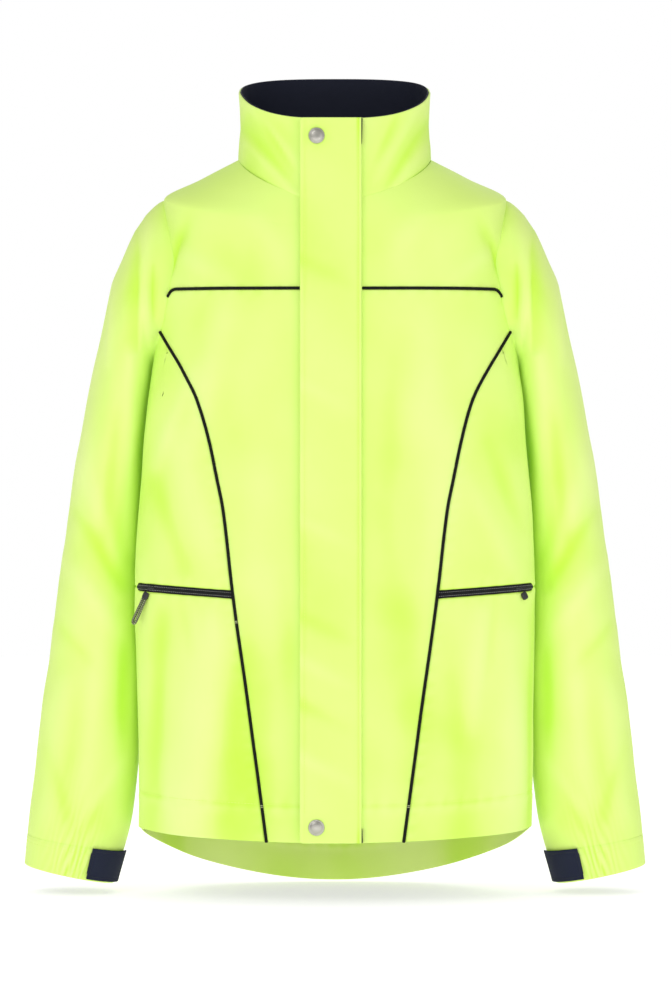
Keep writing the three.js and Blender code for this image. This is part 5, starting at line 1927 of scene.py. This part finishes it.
@dataclass
class PocketZip:
    """A slanting pocket zip: its tape and coil in the seam, the slider, and the crimp of its puller."""

    side: Side
    half: float = 4.4
    at: Array = field(default_factory=lambda: np.array([-187.7987, -158.0142, -478.202]))
    pull_at: Array = field(default_factory=lambda: np.array([-194.433, -156.755, -482.350]))
    up: Array = field(default_factory=lambda: np.array([0.069618, -0.000027, 0.997574]))
    along: Array = field(default_factory=lambda: np.array([-0.743038, 0.667236, 0.051873]))
    out: Array = field(default_factory=lambda: np.array([-0.665618, -0.744847, 0.046432]))

    def mirrored(self, vectors: Array) -> Array:
        """Vectors given for the wearer's right, on this side."""
        return vectors * np.array([-self.side.value, 1, 1])

    def line(self, count: int) -> tuple[Array, Array, Array, Array]:
        """The zip's middle line in the row frame in millimetres, with its along, up and out directions."""
        v0 = np.array(-89.5)
        start = BODY.angle_at(BODY.princess_x(-93) + 1.2, v0)
        stop = BODY.angle_at(np.array(205.4), v0)
        a = np.linspace(float(start), float(stop), count)
        v = BODY.pocket(a)
        turn = a if self.side is Side.LEFT else math.pi - a
        n = BODY.normal(turn, v)
        centre = BODY.draped(turn, v) - BEARING
        along = unit(np.gradient(centre, axis=0))
        up = unit(np.cross(along, n))
        up = up * np.sign(up[:, 2:3])
        return centre, along, up, n

    def build(self) -> None:
        """Makes the pieces."""
        centre, _, up, n = self.line(90)
        w = np.array([-1, -0.93, -0.8, -0.62, -0.55, -0.46, -0.36, -0.27, -0.19, -0.1, -0.04])
        w = np.concatenate([w, -w[::-1]]) * self.half
        rise = -0.55 - 0.7 * bell(np.abs(w) - self.half, 0.5) + 0.85 * bell(np.abs(w) - 1.15, 0.62)
        top = centre[None] + w[:, None, None] * up[None] + rise[:, None, None] * n[None]
        under = centre[None] + w[:, None, None] * up[None] - (1.5 + 0 * rise)[:, None, None] * n[None]
        word = self.side.word
        tape = layered(f"pocket_zip_{word}_tape", top / 1000, under / 1000)
        WARDROBE.dress(tape, Finish.ZIP_TAPE)
        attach(tape, "root")
        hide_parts(f"pocket_zip_{word}")
        for name, across, height in (("upper", 1.9, -0.2), ("lower", -1.9, -0.2)):
            path = (centre + across * up + height * n) / 1000
            row = thread_stitches(f"pocket_zip_{word}_{name}_stitches", path, n, 0.0022, 0.0003, 0.5)
            WARDROBE.sewn(row, "grey", Finish.ZIP_TAPE)
            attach(row, "root")
        self.coil(word)
        axes = self.mirrored(np.stack([self.up, self.along, self.out]))
        slider = placed_piece(f"pocket_slider_{word}_body", SliderPiece(3.4, 2.2).solid(),
                              self.mirrored(self.at) / 1000, axes)
        WARDROBE.dress(slider, Finish.ZIP_SLIDER)
        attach(slider, f"pocket_slider_{word}")
        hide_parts(f"pocket_slider_{word}")
        down = unit(-self.up + 0.38 * self.along + 0.12 * self.out)
        across = unit(np.cross(self.out, down))
        face = np.cross(down, across)
        axes = self.mirrored(np.stack([across, down, face]))
        crimp = placed_piece(f"pocket_puller_{word}_crimp", pebble((0, 4, 0), (3.5, 4.0, 1.75), 4),
                             self.mirrored(self.pull_at) / 1000, axes)
        WARDROBE.dress(crimp, Finish.PULL_END)
        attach(crimp, f"pocket_puller_{word}")
        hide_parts(f"pocket_puller_{word}")
        log.info("pocket zip %s: %d faces", word, len(tape.data.polygons))

    def coil(self, word: str) -> None:
        """The coil's loops at a 1.4 mm pitch, in two rows that meet along the middle."""
        centre, along, up, n = self.line(110)
        rows = []
        for across in (-0.62, 0.62):
            rows.append(centre + across * up + 0.12 * n + (0.35 * along if across > 0 else 0 * along))
        origins = np.concatenate(rows) / 1000
        axes = np.concatenate([np.stack([along, up, n], 1)] * 2) / 1000
        solid, faces = pebble((0, 0, 0), (0.36, 0.72, 0.5), 2.4, 5, 6)
        obj = repeated(f"pocket_zip_{word}_coil", solid, faces, origins, axes)
        WARDROBE.dress(obj, Finish.ZIP_CHAIN)
        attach(obj, "root")


# ---------------------------------------------------------------- sleeves


@dataclass
class SleeveParts:
    """One sleeve with its lining, gathered cuff, elastic, tab and hook-and-loop patches."""

    side: Side
    cols: int = 300
    tab_from: float = -math.pi + 0.12
    tab_turn: float = 1.05
    tab_height: float = 25

    def mirrored(self, points: Array) -> Array:
        """Points of the left sleeve in metres, on this side."""
        return points * np.array([self.side.value, 1, 1])

    def ring(self, t: Array, cols: int) -> tuple[Array, Array]:
        """Turn and share grids, all the way round."""
        turn = np.arange(cols) * TAU / cols - math.pi
        return np.broadcast_arrays(turn[None], t[:, None])

    def bend(self, obj: bpy.types.Object) -> None:
        """Bakes a cloth's placement into its mesh; the two points at the shoulder are worked out but not
        used.
        """
        x = self.side.value
        start, end = to_row(np.array([188.0 * x, 0, 158])), to_row(np.array([238.0 * x, 0, 10]))
        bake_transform(obj)

    def build(self) -> None:
        """Makes every piece of the sleeve."""
        word = self.side.word
        body = f"sleeve_{word}"
        t = lerp(0.0, SLEEVE.band_top + 0.003, fine_edges(640, 4.0))
        turn, t = self.ring(t, self.cols)
        plain = SLEEVE.point(turn, t)
        # The gathers are in lift already and are added again, so the painted shade and painted highlight
        # from the fold values are doubled in them.
        fold = np.tanh((SLEEVE.lift(turn, t, plain) + SLEEVE.gathers(turn, t)) / 2.4)
        top = self.mirrored(to_row(SLEEVE.draped(turn, t, self.side)))
        under = self.mirrored(to_row(SLEEVE.draped(turn, t, self.side, -1.1)))
        shell = layered(f"sleeve_{word}_cloth", top, under, wrap=True, fold=fold)
        WARDROBE.dress(shell, Finish.SHELL_CLOTH)
        self.bend(shell)
        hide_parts(body)
        declare_sheet(top, True)
        log.info("%s: %d faces", shell.name, len(shell.data.polygons))
        self.lining(word)
        self.cuff(word, body)
        self.inner_patches(word, body)
        self.tab(word)

    def lining(self, word: str) -> None:
        """The dark tube inside the sleeve."""
        turn, t = self.ring(np.linspace(0.06, SLEEVE.band_top - 0.012, 60), 64)
        plain, n = SLEEVE.point(turn, t), SLEEVE.normal(turn, t)
        top = self.mirrored(to_row(plain - 6.5 * n))
        under = self.mirrored(to_row(plain - 7.2 * n))
        obj = layered(f"sleeve_lining_{word}_cloth", top, under, wrap=True)
        WARDROBE.dress(obj, Finish.LINING_CLOTH)
        self.bend(obj)
        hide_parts(f"sleeve_lining_{word}")
        declare_sheet(top, True)

    def cuff(self, word: str, body: str) -> None:
        """The gathered band, round at its lower edge, with two rows of stitches at its seam."""
        share = fine_edges(SLEEVE.band, 2.4)
        turn, t = self.ring(lerp(SLEEVE.band_top - 0.001, 1.0, share), self.cols)
        plain, n = SLEEVE.point(turn, t), SLEEVE.normal(turn, t)
        low = np.clip(1 - (1 - t) * SLEEVE.length / 1.3, 0, 1)
        inset = 1.2 * (1 - np.sqrt(np.maximum(0, 1 - (low * 0.96) ** 2)))
        lift = SLEEVE.lift(turn, t, plain) + 0.35
        lift = lift - 0.4 * bell((t - SLEEVE.band_top) * SLEEVE.length - 4.5, 0.9)
        top = self.mirrored(to_row(plain + n * (lift - inset)[..., None]))
        under = self.mirrored(to_row(plain + n * (lift - 2.4 + inset)[..., None]))
        # The band's fold values come from its gathers only: painted shade in their hollows and painted
        # highlight on their crests.
        fold = np.tanh(SLEEVE.gathers(turn, t) * 1.1)
        obj = layered(f"cuff_{word}_cloth", top, under, wrap=True, fold=fold)
        WARDROBE.dress(obj, Finish.SHELL_CLOTH)
        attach(obj, body)
        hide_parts(f"cuff_{word}")
        declare_sheet(top, True)
        around = np.linspace(-math.pi, math.pi, 420)
        for name, down in (("upper", 1.6), ("lower", 4.5)):
            tt = np.full_like(around, SLEEVE.band_top + down / SLEEVE.length)
            extra = 0.05 if name == "upper" else 0.0
            path = self.mirrored(to_row(SLEEVE.draped(around, tt, self.side, 0.05 + extra)))
            row = thread_stitches(f"cuff_{word}_{name}_stitches", path,
                                  self.mirrored(SLEEVE.normal(around, tt)), 0.003)
            WARDROBE.sewn(row, "yellow", Finish.SHELL_CLOTH)
            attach(row, body)

    def patch(self, node: str, turns: tuple[float, float], shares: tuple[float, float], out: float,
              thick: float, finish: Finish, body: str) -> tuple[Array, Array]:
        """A flat piece that follows the cuff, with rounded edges and corners.

        Args:
            node: The frame node it stands for.
            turns: From and to round the cuff.
            shares: From and to down the sleeve.
            out: Its lower face's height over the plain cuff.
            thick: Its thickness.
            finish: Its finish.
            body: The body it rides on.

        Returns:
            The turn and share of each point of its grid.
        """
        middle = (shares[0] + shares[1]) / 2
        ends = SLEEVE.point(np.array(turns), np.array([middle, middle]))
        wide = max(16.0, float(np.linalg.norm(ends[1] - ends[0])))
        tall = max(16.0, (shares[1] - shares[0]) * SLEEVE.length)
        s, h = np.meshgrid(fine_edges(wide, 2.0), fine_edges(tall, 2.0))
        edge = np.minimum(np.minimum(s, 1 - s) * wide, np.minimum(h, 1 - h) * tall)
        turn, t = lerp(turns[0], turns[1], s), lerp(shares[0], shares[1], h)
        plain, n = SLEEVE.point(turn, t), SLEEVE.normal(turn, t)
        rounding = np.clip(1 - edge / (thick / 2), 0, 1)
        inset = thick / 2 * (1 - np.sqrt(1 - (rounding * 0.96) ** 2))
        groove = -0.35 * bell(edge - 2.6, 0.6)
        top = self.mirrored(to_row(plain + n * (out + thick - inset + groove)[..., None]))
        under = self.mirrored(to_row(plain + n * (out + inset)[..., None]))
        obj = layered(f"{node}_piece", top, under, fold=groove * 2)
        WARDROBE.dress(obj, finish)
        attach(obj, body)
        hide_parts(node)
        declare_sheet(top, False)
        return turn, t

    def inner_patches(self, word: str, body: str) -> None:
        """The elastic inside the cuff and the loop patch on it."""
        top = SLEEVE.band_top
        self.patch(f"cuff_elastic_{word}", (self.tab_from + 1.2, math.pi - 1), (top + 0.006, 0.992), -5.4,
                   1.0, Finish.ELASTIC, body)
        high = 0.998 - self.tab_height / SLEEVE.length
        self.patch(f"cuff_loop_patch_{word}", (self.tab_from + 0.35, self.tab_from + self.tab_turn),
                   (high + 0.006, 0.992), 0.3, 0.9, Finish.HOOK_AND_LOOP, body)

    def tab(self, word: str) -> None:
        """The tab with its hook patch and the stitches round its border."""
        body = f"cuff_tab_{word}"
        low, high = 0.998, 0.998 - self.tab_height / SLEEVE.length
        stop = self.tab_from + self.tab_turn
        self.patch(f"cuff_hook_patch_{word}", (self.tab_from + 0.45, stop - 0.05),
                   (high + 0.007, 0.991), 1.25, 0.9, Finish.HOOK_AND_LOOP, body)
        self.patch(body, (self.tab_from, stop), (high, low), 2.2, 1.4, Finish.TAB_CLOTH, body)
        inset_turn, inset_t = 0.05, 2.6 / SLEEVE.length
        a0, a1 = self.tab_from + inset_turn, stop - inset_turn
        t0, t1 = high + inset_t, low - inset_t
        lines = [((a0, t0), (a1, t0)), ((a1, t0), (a1, t1)), ((a1, t1), (a0, t1)), ((a0, t1), (a0, t0))]
        path_turn = np.concatenate([np.linspace(p[0], q[0], 40) for p, q in lines])
        path_t = np.concatenate([np.linspace(p[1], q[1], 40) for p, q in lines])
        plain, n = SLEEVE.point(path_turn, path_t), SLEEVE.normal(path_turn, path_t)
        path = self.mirrored(to_row(plain + n * 3.35))
        row = thread_stitches(f"cuff_tab_{word}_stitches", path, self.mirrored(n), 0.0026)
        WARDROBE.sewn(row, "navy", Finish.TAB_CLOTH)
        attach(row, body)


class HangLoop:
    """The tape loop arched in the back of the neck."""

    half: float = 27
    rise: float = 20
    foot: float = 371
    wide: float = 6
    thick: float = 1.3

    def build(self) -> None:
        """Makes the tape along z = foot + rise (1 - |x / half| cubed)."""
        x = np.linspace(-self.half, self.half, 90)
        z = self.foot + self.rise * (1 - np.abs(x / self.half) ** 3) + 0.7
        line = np.stack([x, np.full_like(x, 76.0), z], -1)
        along = unit(np.gradient(line, axis=0))
        n = np.cross(along, np.array([0.0, -1.0, 0.0]))
        n = n * np.sign((n[45, 2]))
        y = np.array([-1, -0.97, -0.9, -0.6, -0.2, 0.2, 0.6, 0.9, 0.97, 1]) * self.wide / 2
        slim = np.sqrt(np.maximum(1 - (np.abs(y) / (self.wide / 2)) ** 8, 0.05)) * self.thick / 2
        centre = line[:, None] + y[None, :, None] * np.array([0.0, 1.0, 0.0])
        top = to_row(centre + n[:, None] * slim[None, :, None])
        under = to_row(centre - n[:, None] * slim[None, :, None])
        obj = layered("hang_loop_tape", top, under)
        WARDROBE.dress(obj, Finish.LOOP_TAPE)
        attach(obj, "root")
        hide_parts("hang_loop")
        log.info("hang loop: %d faces", len(obj.data.polygons))


# ---------------------------------------------------------------- studio


@dataclass(frozen=True)
class Studio:
    """The camera in front, a bright soft surround and a pale floor."""

    distance: float = 4.06
    lens: float = 134.8
    floor_gap: float = 0.002
    surround: float = 0.54
    key: float = 19.5

    def camera(self) -> None:
        """The camera, level and square to the front."""
        data = bpy.data.cameras.new("camera")
        data.lens, data.sensor_width = self.lens, 36
        data.clip_end = 50
        cam = bpy.data.objects.new("camera", data)
        cam.location = (0.001, -self.distance, -0.391)
        cam.rotation_euler = (math.pi / 2, 0, 0)
        bpy.context.scene.collection.objects.link(cam)
        bpy.context.scene.camera = cam

    def light(self) -> None:
        """A white surround, white to the camera, and four soft lamps."""
        world = bpy.data.worlds.new("surround")
        bpy.context.scene.world = world
        world.use_nodes = True
        tree = world.node_tree
        tree.nodes.clear()
        path = tree.nodes.new("ShaderNodeLightPath")
        mix = tree.nodes.new("ShaderNodeMixShader")
        seen, lit = (tree.nodes.new("ShaderNodeBackground") for _ in range(2))
        seen.inputs[1].default_value, lit.inputs[1].default_value = 1.0, self.surround
        for back in (seen, lit):
            back.inputs[0].default_value = (1, 1, 1, 1)
        out = tree.nodes.new("ShaderNodeOutputWorld")
        tree.links.new(path.outputs["Is Camera Ray"], mix.inputs[0])
        tree.links.new(lit.outputs[0], mix.inputs[1])
        tree.links.new(seen.outputs[0], mix.inputs[2])
        tree.links.new(mix.outputs[0], out.inputs[0])
        self.lamp("key", (-1.5, -2.6, 1.7), (1.5, 1.5), self.key)
        self.lamp("fill", (1.9, -2.4, 0.3), (1.6, 2.2), self.key * 0.42)
        self.lamp("back", (0.6, 2.4, 1.6), (2.0, 1.2), self.key * 0.5)
        self.lamp("low", (0.0, -2.5, -0.75), (2.4, 0.5), self.key * 0.55)

    def lamp(self, name: str, place: Sequence[float], size: Sequence[float], power: float) -> None:
        """An area lamp aimed at the jacket's middle."""
        data = bpy.data.lights.new(name, "AREA")
        data.shape, data.size, data.size_y, data.energy = "RECTANGLE", size[0], size[1], power
        lamp = bpy.data.objects.new(name, data)
        lamp.location = place
        aim = np.array([0.0, 0.0, -0.36]) - np.array(place)
        yaw, pitch = math.atan2(aim[1], aim[0]), math.atan2(aim[2], math.hypot(aim[0], aim[1]))
        lamp.rotation_euler = (math.pi / 2 + pitch, 0, yaw - math.pi / 2)
        bpy.context.scene.collection.objects.link(lamp)

    def floor(self) -> None:
        """A pale floor just under the tail, bright enough to show only the soft shadow on it."""
        low = float(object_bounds()[0].z) - self.floor_gap
        corners = np.array([(-6, -6, low), (6, -6, low), (6, 6, low), (-6, 6, low)], float)
        mesh = bpy.data.meshes.new("floor")
        mesh.from_pydata(corners.tolist(), [], [(0, 1, 2, 3)])
        obj = bpy.data.objects.new("floor", mesh)
        bpy.context.scene.collection.objects.link(obj)
        g = Graph("floor")
        g.finish((0.86, 0.86, 0.86), 0.9, None, Emission_Color=(1, 1, 1), Emission_Strength=0.62)
        mesh.materials.append(g.material)
        obj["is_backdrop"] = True


def main() -> None:
    """Builds the jacket piece by piece, then the studio."""
    logging.basicConfig(level=logging.INFO, format="%(name)s: %(message)s")
    studio = Studio()
    studio.camera()
    PullCord().build()
    shell = BodyShell()
    shell.build()
    BodyLining(shell).build()
    Piping().build()
    Collar().build()
    line = CentreFront()
    line.build()
    FrontSlider().build(line)
    for side in Side:
        PocketZip(side).build()
        SleeveParts(side).build()
    HangLoop().build()
    studio.light()
    studio.floor()
    bpy.context.scene.view_settings.view_transform = "Standard"


if __name__ == "__main__":
    main()
